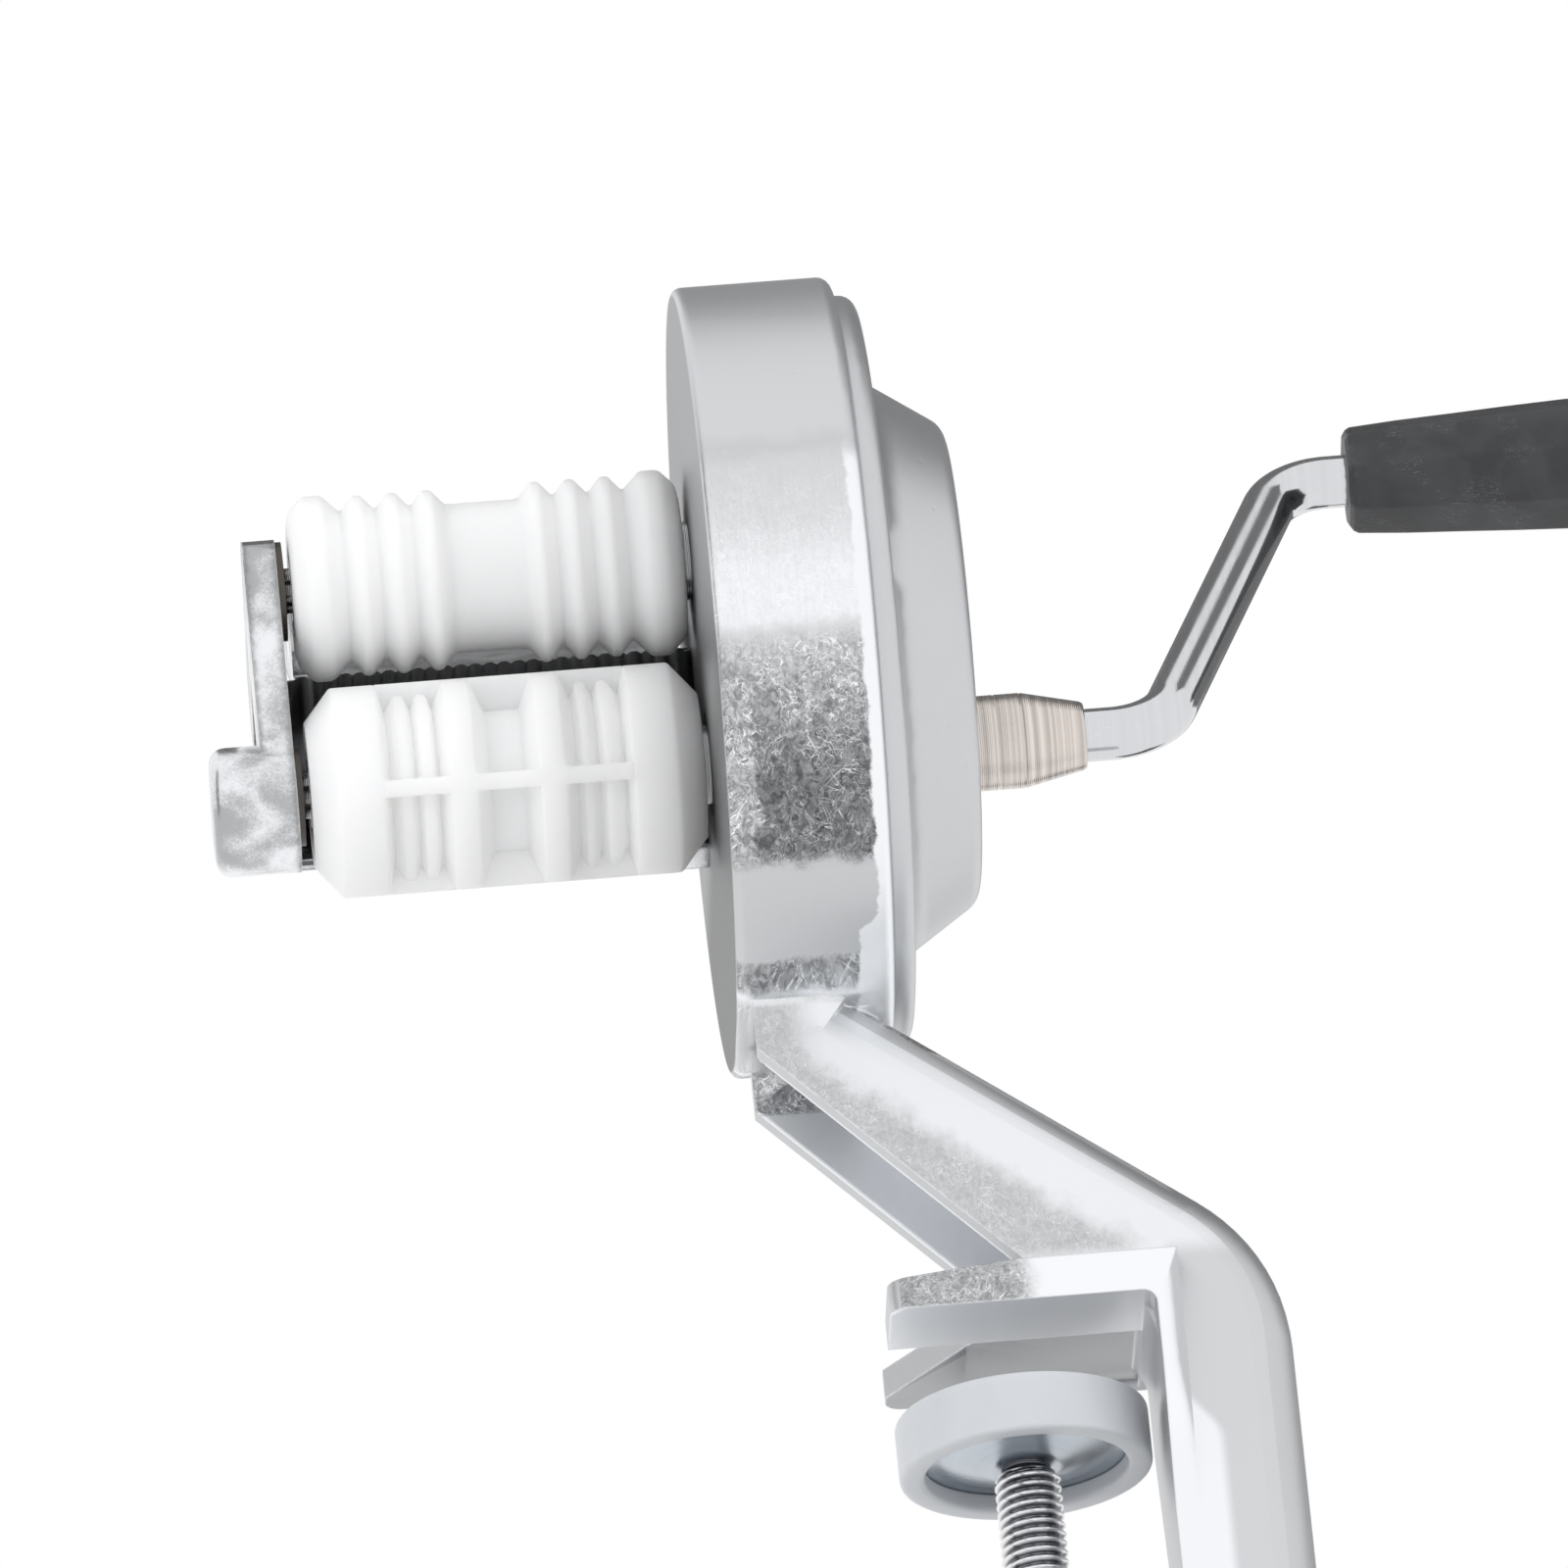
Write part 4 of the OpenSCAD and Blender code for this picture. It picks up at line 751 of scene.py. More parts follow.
    def build_body(self, s: Surface, mottle: Socket, height: Socket) -> None:
        """The drum, arm and clamp: the near sides are dressed, with painted glare; the rim in painted
        reflection bands; painted light and shade on the drum's front face, the jaw's underside and the
        channel behind the arm.

        Args:
            s: The material's surface.
            mottle: A factor about one that makes satin metal uneven.
            height: The cast skin's height.
        """
        w, at, tones = s.w, self.at, self.tones
        x, y, z = s.xyz
        up = w.less(z, LAYOUT.drum_z)
        radius = w.math("SQRT", w.total(w.product(y, y), w.product(up, up)))
        past = w.less(radius, LAYOUT.drum_r)
        on_rim = w.product(w.remap(past, *at.rim_inside), w.remap(past, *at.rim_outside))
        turn = w.product(w.math("ARCTAN2", up, w.size(y)), 180 / math.pi)
        broken = w.less(w.noise(s.place, scale=0.2, detail=4.0, rough=0.65), 0.5)
        rim_tone, rim_speckle = self.rim_tone(s, turn, broken)
        side_tone, side_speckle = self.side_tone(s, broken)
        to_x, to_y, to_z = w.facing()
        side = w.product(w.remap(w.size(to_y), 0.88, 0.94), w.remap(z, *at.arm_top_z))
        front, under = (w.remap(part, -self.flat[0], -self.flat[1]) for part in (to_x, to_z))
        # Painted shade on the drum's front face, darker towards its bottom.
        face = w.product(front, w.remap(z, *at.face_low_z))
        # The channel behind the arm gets painted light; its top end gets painted shade over dressing
        # speckle.
        hollow = w.product(w.remap(w.size(y), *at.hollow_y), w.remap(z, *at.hollow_top_z),
                           w.remap(z, *at.hollow_low_z), w.remap(x, *at.hollow_rear_x))
        end = w.product(hollow, w.remap(z, *at.hollow_end_z))
        tone = w.product(mottle, tones.satin)
        for where, new in (
                # Painted light on the jaw's near prong and painted shade on its far part, underneath.
                (w.product(under, w.remap(z, *at.under_z)),
                 w.remap(y, *at.under_y, *tones.jaw_under)),
                (side, side_tone), (hollow, tones.hollow),
                (face, w.remap(up, *at.face_shade, *tones.face)), (on_rim, rim_tone),
                # Painted shade at the channel's top end.
                (w.product(end, 0.7), tones.hollow_end_shade)):
            tone = w.mix_value(where, tone, new)
        speckle = w.mix_value(hollow, w.product(side, side_speckle), w.product(end, 0.8))
        speckle = w.mix_value(on_rim, speckle, rim_speckle)
        speckle = w.product(speckle, w.less(1.0, face))
        rub = s.effect(Effect.LINISHED, Vector=w.joined(x, w.product(radius, 0.2), z),
                       Speckle=speckle)
        swing = w.product(w.less(rub.outputs["Tone"], 0.5), w.remap(speckle, 0.0, 0.8, 0.0, 1.35))
        tone = w.product(tone, w.total(swing, 1.0))
        glints = w.math("MULTIPLY", rub.outputs["Nicks"], w.product(speckle, 0.9), clamp=True)
        tone = w.mix_value(glints, tone, tones.glint)
        dressed = w.remap(speckle, 0.02, 0.2)
        self.finish(s, tone, dressed, w.mix_value(dressed, height, rub.outputs["Height"]))


@dataclass(frozen=True)
class TurnedFinish:
    """Turned or rolled metal: bright, with rings along the piece's axis."""

    name: str
    colour: Colour
    rough: float
    pitch: float = 0.25
    contrast: float = 0.1
    depth: float = 0.2
    axis: int = 0
    grime: Colour = (0.12, 0.12, 0.12)
    grime_share: float = 0.0

    def build(self) -> bpy.types.Material:
        """Builds the material."""
        s = Surface(self.name)
        w = s.w
        rings = s.effect(Effect.TURNED, Along=s.xyz[self.axis], Pitch=self.pitch)
        edge = s.marked_edge(radius=0.00035, gain=1.5)
        marks = s.scuffs(amount=0.5)
        low, high, wear_and_highlight = (tuple(min(1.0, c * k) for c in self.colour)
                           for k in (1 - self.contrast, 1 + self.contrast, 1.25))
        base = w.mix(w.remap(rings.outputs["Tone"], 0.3, 0.7), low, high)
        stain = w.product(w.remap(marks.outputs["Smudge"], 0.45, 0.7), self.grime_share)
        base = w.mix(stain, base, self.grime)
        # Scuffs and worn edges brightened; on the edges this is partly a painted highlight.
        base = w.mix(w.highest(edge.outputs["Mark"], marks.outputs["Scuff"]), base, wear_and_highlight)
        s.set(Base_Color=base, Metallic=1.0, Roughness=s.smudged(marks, self.rough, swing=0.12),
              Normal=w.bump(rings.outputs["Height"], self.depth, distance=0.00008,
                            normal=edge.outputs["Normal"]))
        return s.material


@dataclass(frozen=True)
class MilkyFinish:
    """Milky moulded plastic that lets some light through."""

    name: str
    colour: Colour = (0.90, 0.905, 0.91)
    rough: float = 0.38
    depth: float = 0.003
    clear: float = 0.35
    scuffed: Colour = (0.8, 0.8, 0.8)

    def build(self) -> bpy.types.Material:
        """Builds the material."""
        s = Surface(self.name)
        w = s.w
        marks = s.scuffs(amount=0.35)
        edge = s.marked_edge(radius=0.0003, gain=1.0)
        base = w.mix(w.remap(marks.outputs["Smudge"], 0.35, 0.65),
                     tuple(c * 0.975 for c in self.colour), self.colour)
        base = w.mix(w.product(marks.outputs["Scuff"], 0.4), base, self.scuffed)
        s.set(Base_Color=base, Roughness=s.smudged(marks, self.rough, swing=0.14), IOR=1.5,
              Normal=w.bump(marks.outputs["Height"], strength=0.06, distance=0.0002,
                            normal=edge.outputs["Normal"]),
              Subsurface_Weight=self.clear, Subsurface_Scale=self.depth,
              Subsurface_Radius=(1.0, 0.95, 0.9))
        return s.material


@dataclass(frozen=True)
class BlackFinish:
    """Black moulded plastic with a fine skin and pale scuffs."""

    name: str
    colour: Colour = (0.022, 0.023, 0.025)
    rough: float = 0.41
    scuffed: Colour = (0.30, 0.30, 0.31)

    def build(self) -> bpy.types.Material:
        """Builds the material."""
        s = Surface(self.name)
        w = s.w
        marks = s.scuffs(amount=0.9)
        edge = s.marked_edge(radius=0.0006, gain=1.2)
        base = w.mix(w.remap(marks.outputs["Smudge"], 0.35, 0.65), self.colour,
                     tuple(c * 1.7 for c in self.colour))
        # Pale scuffs, and pale edges that are partly wear and partly painted highlight.
        pale = w.highest(w.product(marks.outputs["Scuff"], 0.5),
                         w.product(edge.outputs["Mark"], 0.35))
        s.set(Base_Color=w.mix(pale, base, self.scuffed),
              Roughness=s.smudged(marks, self.rough, swing=0.22),
              Normal=w.bump(marks.outputs["Height"], strength=0.12, distance=0.0002,
                            normal=edge.outputs["Normal"]))
        return s.material


@dataclass(frozen=True)
class ThreadFinish:
    """A rolled thread: bright crests and roots that are darker towards the axis."""

    name: str
    crest: Colour = (0.86, 0.865, 0.875)
    root: Colour = (0.20, 0.20, 0.215)
    dark_r: float = 4.2
    bright_r: float = 4.85
    rough: float = 0.235

    def build(self) -> bpy.types.Material:
        """Builds the material, whose tone follows the distance to the screw's axis."""
        s = Surface(self.name)
        w = s.w
        x, y, _ = s.xyz
        r = w.math("SQRT", w.total(w.product(x, x), w.product(y, y)))
        marks = s.scuffs(amount=0.6)
        shift = w.product(w.less(marks.outputs["Smudge"], 0.5), 0.5)
        share = w.math("ADD", w.remap(r, self.dark_r, self.bright_r), shift, clamp=True)
        s.set(Base_Color=w.mix(share, self.root, self.crest), Metallic=1.0,
              Normal=w.bump(marks.outputs["Height"], strength=0.1, distance=0.0001),
              Roughness=s.smudged(marks, self.rough, swing=0.15))
        return s.material


class Finish(Enum):
    """Every finish of the object; a value is what builds it."""

    CAST_BODY = CastFinish(Zone.BODY)
    CAST_COVER = CastFinish(Zone.COVER)
    CAST_FRAME = CastFinish(Zone.FRAME)
    ROLLER = MilkyFinish("milky_roller", (0.99, 0.99, 0.985), rough=0.4, depth=0.009, clear=1.0)
    PAD = MilkyFinish("milky_pad", (0.61, 0.63, 0.66), rough=0.32)
    GRIP = BlackFinish("black_grip")
    KNOB = BlackFinish("black_knob", (0.028, 0.028, 0.03), rough=0.36)
    CHROME = TurnedFinish("chromed_rod", (0.68, 0.69, 0.71), rough=0.10, pitch=0.4, contrast=0.02,
                          depth=0.03)
    COLLAR = TurnedFinish("turned_nickel", (0.66, 0.605, 0.565), rough=0.27, pitch=0.3,
                          contrast=0.2, depth=0.6)
    ZINC = TurnedFinish("blue_zinc", (0.50, 0.54, 0.585), rough=0.26, pitch=0.5, contrast=0.06,
                        depth=0.06, axis=2)
    SCREW = TurnedFinish("plated_screw", (0.66, 0.67, 0.69), rough=0.28, pitch=0.5, contrast=0.06,
                         depth=0.1)
    # Painted shade: the bushes are dark grey for the shaded gaps where they show, not bronze's own
    # colour.
    SHADED_BRONZE = TurnedFinish("bronze_in_painted_shade", (0.11, 0.10, 0.09), rough=0.42, pitch=0.3,
                          grime_share=0.7)
    SHAFT = TurnedFinish("turned_shaft", (0.58, 0.59, 0.61), rough=0.24, depth=0.3)
    GEAR = TurnedFinish("hobbed_gear", (0.46, 0.47, 0.49), rough=0.3, pitch=0.3, depth=0.3,
                        grime_share=0.7)
    CLIP = TurnedFinish("dark_clip", (0.12, 0.12, 0.13), rough=0.4, pitch=0.3, depth=0.1)
    CLAMP_BAR = TurnedFinish("drawn_bar", (0.66, 0.67, 0.69), rough=0.22, pitch=0.8, contrast=0.05,
                             depth=0.1, axis=1)
    CLAMP_THREAD = ThreadFinish("rolled_thread")

    def material(self) -> bpy.types.Material:
        """The finish's material, built the first time it is asked for."""
        name = self.value.zone.value if isinstance(self.value, CastFinish) else self.value.name
        return bpy.data.materials.get(name) or self.value.build()


# --- Meshes --------------------------------------------------------------------------------------


def link_mesh(name: str, mesh: bpy.types.Mesh) -> bpy.types.Object:
    """Puts a mesh into the scene as an object at the origin."""
    obj = bpy.data.objects.new(name, mesh)
    bpy.context.scene.collection.objects.link(obj)
    return obj


def shade(mesh: bpy.types.Mesh, sharp_deg: float) -> None:
    """Shades a mesh smooth, except over edges that turn by more than an angle.

    Args:
        mesh: The mesh.
        sharp_deg: The angle, in degrees.
    """
    mesh.shade_smooth()
    mesh.set_sharp_from_angle(angle=math.radians(sharp_deg))


def baked(obj: bpy.types.Object) -> bpy.types.Object:
    """Turns an object's modifiers into its mesh, and removes them."""
    graph = bpy.context.evaluated_depsgraph_get()
    mesh = bpy.data.meshes.new_from_object(obj.evaluated_get(graph), preserve_all_data_layers=True,
                                           depsgraph=graph)
    obj.modifiers.clear()
    obj.data = mesh
    return obj


def finish_piece(node: str, made: bpy.types.Mesh | bpy.types.Object, finish: Finish, body: str) -> None:
    """Dresses the piece that stands for a CAD node, hangs it on its body and hides the node.

    Args:
        node: The CAD node.
        made: The piece in place, as a mesh or an object.
        finish: Its finish.
        body: The body that it rides on.
    """
    obj = link_mesh(f"{node}_dressed", made) if isinstance(made, bpy.types.Mesh) else made
    obj.data.materials.clear()
    obj.data.materials.append(finish.material())
    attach(obj, body)
    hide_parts(node)
    LOG.info("%s: %d faces on %s", obj.name, len(obj.data.polygons), body)


def dressed_copy(node: str, sharp_deg: float = 26.0) -> bpy.types.Object:
    """A merged, smoothly shaded copy of a CAD node.

    Args:
        node: The node.
        sharp_deg: Edges that turn by more than this stay sharp.

    Returns:
        The copy, at the origin.
    """
    mesh = frame["nodes"][node].data.copy()
    work = bmesh.new()
    work.from_mesh(mesh)
    bmesh.ops.remove_doubles(work, verts=work.verts, dist=2e-6)
    work.to_mesh(mesh)
    work.free()
    mesh.name = f"{node}_dressed"
    shade(mesh, sharp_deg)
    obj = link_mesh(f"{node}_dressed", mesh)
    weigh = obj.modifiers.new("normals", "WEIGHTED_NORMAL")
    weigh.keep_sharp = True
    return baked(obj)


def skin(name: str, rings: Sequence[Sequence[Vector]], sharp_deg: float,
         loop: bool = False) -> bpy.types.Mesh:
    """Joins rings of points, in millimetres, into a closed mesh.

    Args:
        name: The mesh's name.
        rings: The rings in order; a ring of one point is a pole.
        sharp_deg: Edges that turn by more than this stay sharp.
        loop: Whether the last ring joins the first; if not, an open end gets a face.

    Returns:
        The mesh, its faces outward.
    """
    work = bmesh.new()
    rows = [[work.verts.new(point * MM) for point in ring] for ring in rings]
    steps = max(len(row) for row in rows)
    for low, high in zip(rows, rows[1:] + rows[:1] if loop else rows[1:]):
        for k in range(steps):
            j = (k + 1) % steps
            corners = [low[k % len(low)], low[j % len(low)], high[j % len(high)],
                       high[k % len(high)]]
            work.faces.new(list(dict.fromkeys(corners)))
    for row in () if loop else (rows[0], rows[-1]):
        if len(row) > 1:
            work.faces.new(row)
    bmesh.ops.recalc_face_normals(work, faces=work.faces)
    mesh = bpy.data.meshes.new(name)
    work.to_mesh(mesh)
    work.free()
    shade(mesh, sharp_deg)
    return mesh


@dataclass
class Lathe:
    """A closed body turned about an axis along X or Z.

    The profile runs from one end of the axis to the other, as (distance along it, radius), or
    round a ring's section where it is a loop.
    """

    profile: list[Span]
    centre: Point = (0.0, 0.0, 0.0)
    axis: str = "X"
    steps: int = 96
    sharp_deg: float = 30.0
    loop: bool = False

    def mesh(self, name: str) -> bpy.types.Mesh:
        """Builds the mesh."""
        rings = []
        for along, radius in self.profile:
            turns = [2 * math.pi * k / self.steps for k in range(self.steps if radius > 0 else 1)]
            points = [(along, radius * math.cos(a), radius * math.sin(a)) for a in turns]
            if self.axis == "Z":
                points = [(p[1], p[2], p[0]) for p in points]
            rings.append([Vector(p) + Vector(self.centre) for p in points])
        return skin(name, rings, self.sharp_deg, self.loop)


def rounded(profile: Sequence[Span], radius: float, steps: int = 4) -> list[Span]:
    """Rounds a profile's inner corners.

    Args:
        profile: The corners.
        radius: The rounding, which is smaller where a side is too short for it.
        steps: Points in each rounding, less one.

    Returns:
        The rounded profile.
    """
    points = [Vector(p) for p in profile]
    made = [tuple(points[0])]
    for before, here, after in zip(points, points[1:], points[2:]):
        u, v = before - here, after - here
        reach = min(radius, u.length * 0.45, v.length * 0.45)
        a, b = here + u.normalized() * reach, here + v.normalized() * reach
        for i in range(steps + 1):
            t = i / steps
            made.append(tuple((1 - t) ** 2 * a + 2 * t * (1 - t) * here + t * t * b))
    made.append(tuple(points[-1]))
    return made


# --- Geometry Nodes ------------------------------------------------------------------------------


@dataclass
class ShapeTree:
    """A Geometry Nodes tree with named inputs, which ends in Realize Instances and Set Material."""

    name: str
    inputs: dict[str, float]
    tree: bpy.types.NodeTree = field(init=False)
    w: Wiring = field(init=False)
    given: bpy.types.Node = field(init=False)
    sockets: dict[str, str] = field(init=False)

    def __post_init__(self) -> None:
        """Makes the tree and its sockets."""
        self.tree = bpy.data.node_groups.new(self.name, "GeometryNodeTree")
        face = self.tree.interface
        face.new_socket("Geometry", in_out="INPUT", socket_type="NodeSocketGeometry")
        self.sockets = {}
        for name in self.inputs:
            made = face.new_socket(name, in_out="INPUT", socket_type="NodeSocketFloat")
            made.default_value = self.inputs[name]
            self.sockets[name] = made.identifier
        dress = face.new_socket("Finish", in_out="INPUT", socket_type="NodeSocketMaterial")
        self.sockets["Finish"] = dress.identifier
        face.new_socket("Geometry", in_out="OUTPUT", socket_type="NodeSocketGeometry")
        self.w = Wiring(self.tree)
        self.given = self.w.add("NodeGroupInput")

    def end(self, geometry: Socket) -> None:
        """Ends the tree with the geometry that it has made."""
        real = self.w.add("GeometryNodeRealizeInstances")
        dress = self.w.add("GeometryNodeSetMaterial")
        result = self.w.add("NodeGroupOutput")
        self.tree.links.new(geometry, real.inputs[0])
        self.tree.links.new(real.outputs[0], dress.inputs["Geometry"])
        self.tree.links.new(self.given.outputs["Finish"], dress.inputs["Material"])
        self.tree.links.new(dress.outputs[0], result.inputs[0])

    def apply(self, obj: bpy.types.Object, finish: Finish, **values: float) -> bpy.types.Object:
        """Runs the tree on an object and keeps its result as a plain mesh.

        Args:
            obj: The object whose mesh the tree starts from.
            finish: The finish that it sets.
            values: Inputs that differ from the defaults, an underscore for each space.

        Returns:
            The same object with the made mesh.
        """
        modifier = obj.modifiers.new(self.name, "NODES")
        modifier.node_group = self.tree
        modifier[self.sockets["Finish"]] = finish.material()
        for name, value in self.inputs.items():
            modifier[self.sockets[name]] = float(values.get(name.replace(" ", "_"), value))
        return baked(obj)


def thread_tree() -> ShapeTree:
    """The tree of a cut thread: a long cylinder whose radius follows the helix."""
    shape = ShapeTree("thread", {"Crest Radius": 5.0 * MM, "Root Radius": 4.1 * MM,
                                 "Pitch": 1.5 * MM, "Length": 70.0 * MM, "Neck Radius": 3.55 * MM})
    w, given = shape.w, shape.given
    tube = w.add("GeometryNodeMeshCylinder", fill_type="TRIANGLE_FAN")
    tube.inputs["Vertices"].default_value = 60
    tube.inputs["Side Segments"].default_value = 560
    w.put(tube.inputs["Radius"], given.outputs["Crest Radius"])
    w.put(tube.inputs["Depth"], given.outputs["Length"])
    x, y, z = w.axes(w.add("GeometryNodeInputPosition").outputs[0])
    turn = w.math("DIVIDE", w.math("ARCTAN2", y, x), 2 * math.pi)
    phase = w.math("FRACT", w.less(w.math("DIVIDE", z, given.outputs["Pitch"]), turn))
    rise = w.less(1.0, w.size(w.less(w.product(phase, 2.0), 1.0)))
    flank = w.math("ADD", w.product(rise, 1.45), -0.2, clamp=True)
    depth = w.less(given.outputs["Crest Radius"], given.outputs["Root Radius"])
    radius = w.total(given.outputs["Root Radius"], w.product(flank, depth))
    low = w.less(w.product(given.outputs["Length"], 0.5), z)
    radius = w.math("MINIMUM", radius, w.total(given.outputs["Neck Radius"], low))
    now = w.math("SQRT", w.total(w.product(x, x), w.product(y, y)))
    share = w.math("DIVIDE", radius, w.highest(now, 1e-6))
    move = w.add("GeometryNodeSetPosition")
    w.put(move.inputs["Geometry"], tube.outputs["Mesh"])
    w.put(move.inputs["Position"], w.joined(w.product(x, share), w.product(y, share), z))
    shape.end(move.outputs[0])
    return shape


def sweep_tree() -> ShapeTree:
    """The tree of a bent rod: a round section along the edges of the mesh that it is given."""
    shape = ShapeTree("bent_rod", {"Radius": 4.0 * MM})
    w = shape.w
    path = w.add("GeometryNodeMeshToCurve")
    w.put(path.inputs[0], shape.given.outputs["Geometry"])
    ring = w.add("GeometryNodeCurvePrimitiveCircle")
    ring.inputs["Resolution"].default_value = 48
    w.put(ring.inputs["Radius"], shape.given.outputs["Radius"])
    sweep = w.add("GeometryNodeCurveToMesh")
    w.put(sweep.inputs["Curve"], path.outputs[0])
    w.put(sweep.inputs["Profile Curve"], ring.outputs[0])
    sweep.inputs["Fill Caps"].default_value = True
    shape.end(sweep.outputs[0])
    return shape


def screw_tree() -> ShapeTree:
    """The tree of socket head screws: one at each point of the mesh, pointing towards -X."""
    shape = ShapeTree("socket_screws", {"Head Radius": 3.5 * MM, "Head Height": 2.4 * MM,
                                        "Shank Radius": 2.0 * MM, "Length": 14.0 * MM,
                                        "Key Radius": 1.45 * MM})
    w, given = shape.w, shape.given

    def rod(radius: Value, depth: Value, at: Value, count: int) -> Socket:
        """A cylinder along Z of count sides, its middle at a height."""
        tube = w.add("GeometryNodeMeshCylinder")
        tube.inputs["Vertices"].default_value = count
        w.put(tube.inputs["Radius"], radius)
        w.put(tube.inputs["Depth"], depth)
        move = w.add("GeometryNodeTransform")
        w.put(move.inputs["Geometry"], tube.outputs["Mesh"])
        w.put(move.inputs["Translation"], w.joined(0.0, 0.0, at))
        return move.outputs[0]

    head_h, length = given.outputs["Head Height"], given.outputs["Length"]
    head = rod(given.outputs["Head Radius"], head_h, w.product(head_h, -0.5), count=40)
    key = rod(given.outputs["Key Radius"], head_h, 0.0, count=6)
    cut = w.add("GeometryNodeMeshBoolean", operation="DIFFERENCE")
    w.put(cut.inputs["Mesh 1"], head)
    w.tree.links.new(key, cut.inputs["Mesh 2"])
    shank = rod(given.outputs["Shank Radius"], w.less(length, head_h),
                w.product(w.total(length, head_h), -0.5), count=24)
    both = w.add("GeometryNodeJoinGeometry")
    w.tree.links.new(cut.outputs["Mesh"], both.inputs[0])
    w.tree.links.new(shank, both.inputs[0])
    stand = w.add("GeometryNodeInstanceOnPoints")
    w.put(stand.inputs["Points"], given.outputs["Geometry"])
    w.put(stand.inputs["Instance"], both.outputs[0])
    stand.inputs["Rotation"].default_value = (0.0, math.pi / 2, 0.0)
    shape.end(stand.outputs[0])
    return shape


# --- Sub-assemblies ------------------------------------------------------------------------------


@dataclass
class Castings:
    """The drum with its arm and clamp, the gear cover, and the roller frame."""

    finishes: tuple[tuple[str, Finish], ...] = (
        ("body_casting", Finish.CAST_BODY), ("gear_cover", Finish.CAST_COVER),
        ("roller_frame", Finish.CAST_FRAME))

    def build(self) -> None:
        """Dresses the three castings."""
        for node, finish in self.finishes:
            finish_piece(node, dressed_copy(node), finish, "casting")


@dataclass
class Fasteners:
    """The screws that hold the cover and the roller frame."""

    spread: float = 7.7
    sets: tuple[tuple[str, int, float], ...] = (("cover_screws", 3, 14.0),
                                                ("frame_screws", 3, 11.0))

    def points(self, node: str, count: int) -> list[Point]:
        """The middles of a node's screw heads, at the end of its box towards the crank.

        Args:
            node: The CAD node with the screws.
            count: How many screws it has.

        Returns:
            The points, in metres.
        """
        mesh = frame["nodes"][node].data
        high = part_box(node)[1].x
        tops = [v.co for v in mesh.vertices if v.co.x > high - 1e-6]
        groups: list[list[Vector]] = []
        for p in tops:
            near = [g for g in groups if (g[0] - p).length < self.spread * MM]
            if near:
                near[0].append(p)
            else:
                groups.append([p])
        if len(groups) != count:
            LOG.warning("%s: %d heads found, %d expected", node, len(groups), count)
        middles = []
        for g in groups:
            low = Vector(min(p[i] for p in g) for i in range(3))
            top = Vector(max(p[i] for p in g) for i in range(3))
            middles.append(tuple((low + top) / 2))
        return middles

    def build(self) -> None:
        """Builds both sets of screws."""
        shape = screw_tree()
        for node, count, length in self.sets:
            mesh = bpy.data.meshes.new(f"{node}_dressed")
            mesh.from_pydata(self.points(node, count), [], [])
            obj = shape.apply(link_mesh(f"{node}_dressed", mesh), Finish.SCREW, Length=length * MM)
            shade(obj.data, sharp_deg=30.0)
            finish_piece(node, obj, Finish.SCREW, "casting")


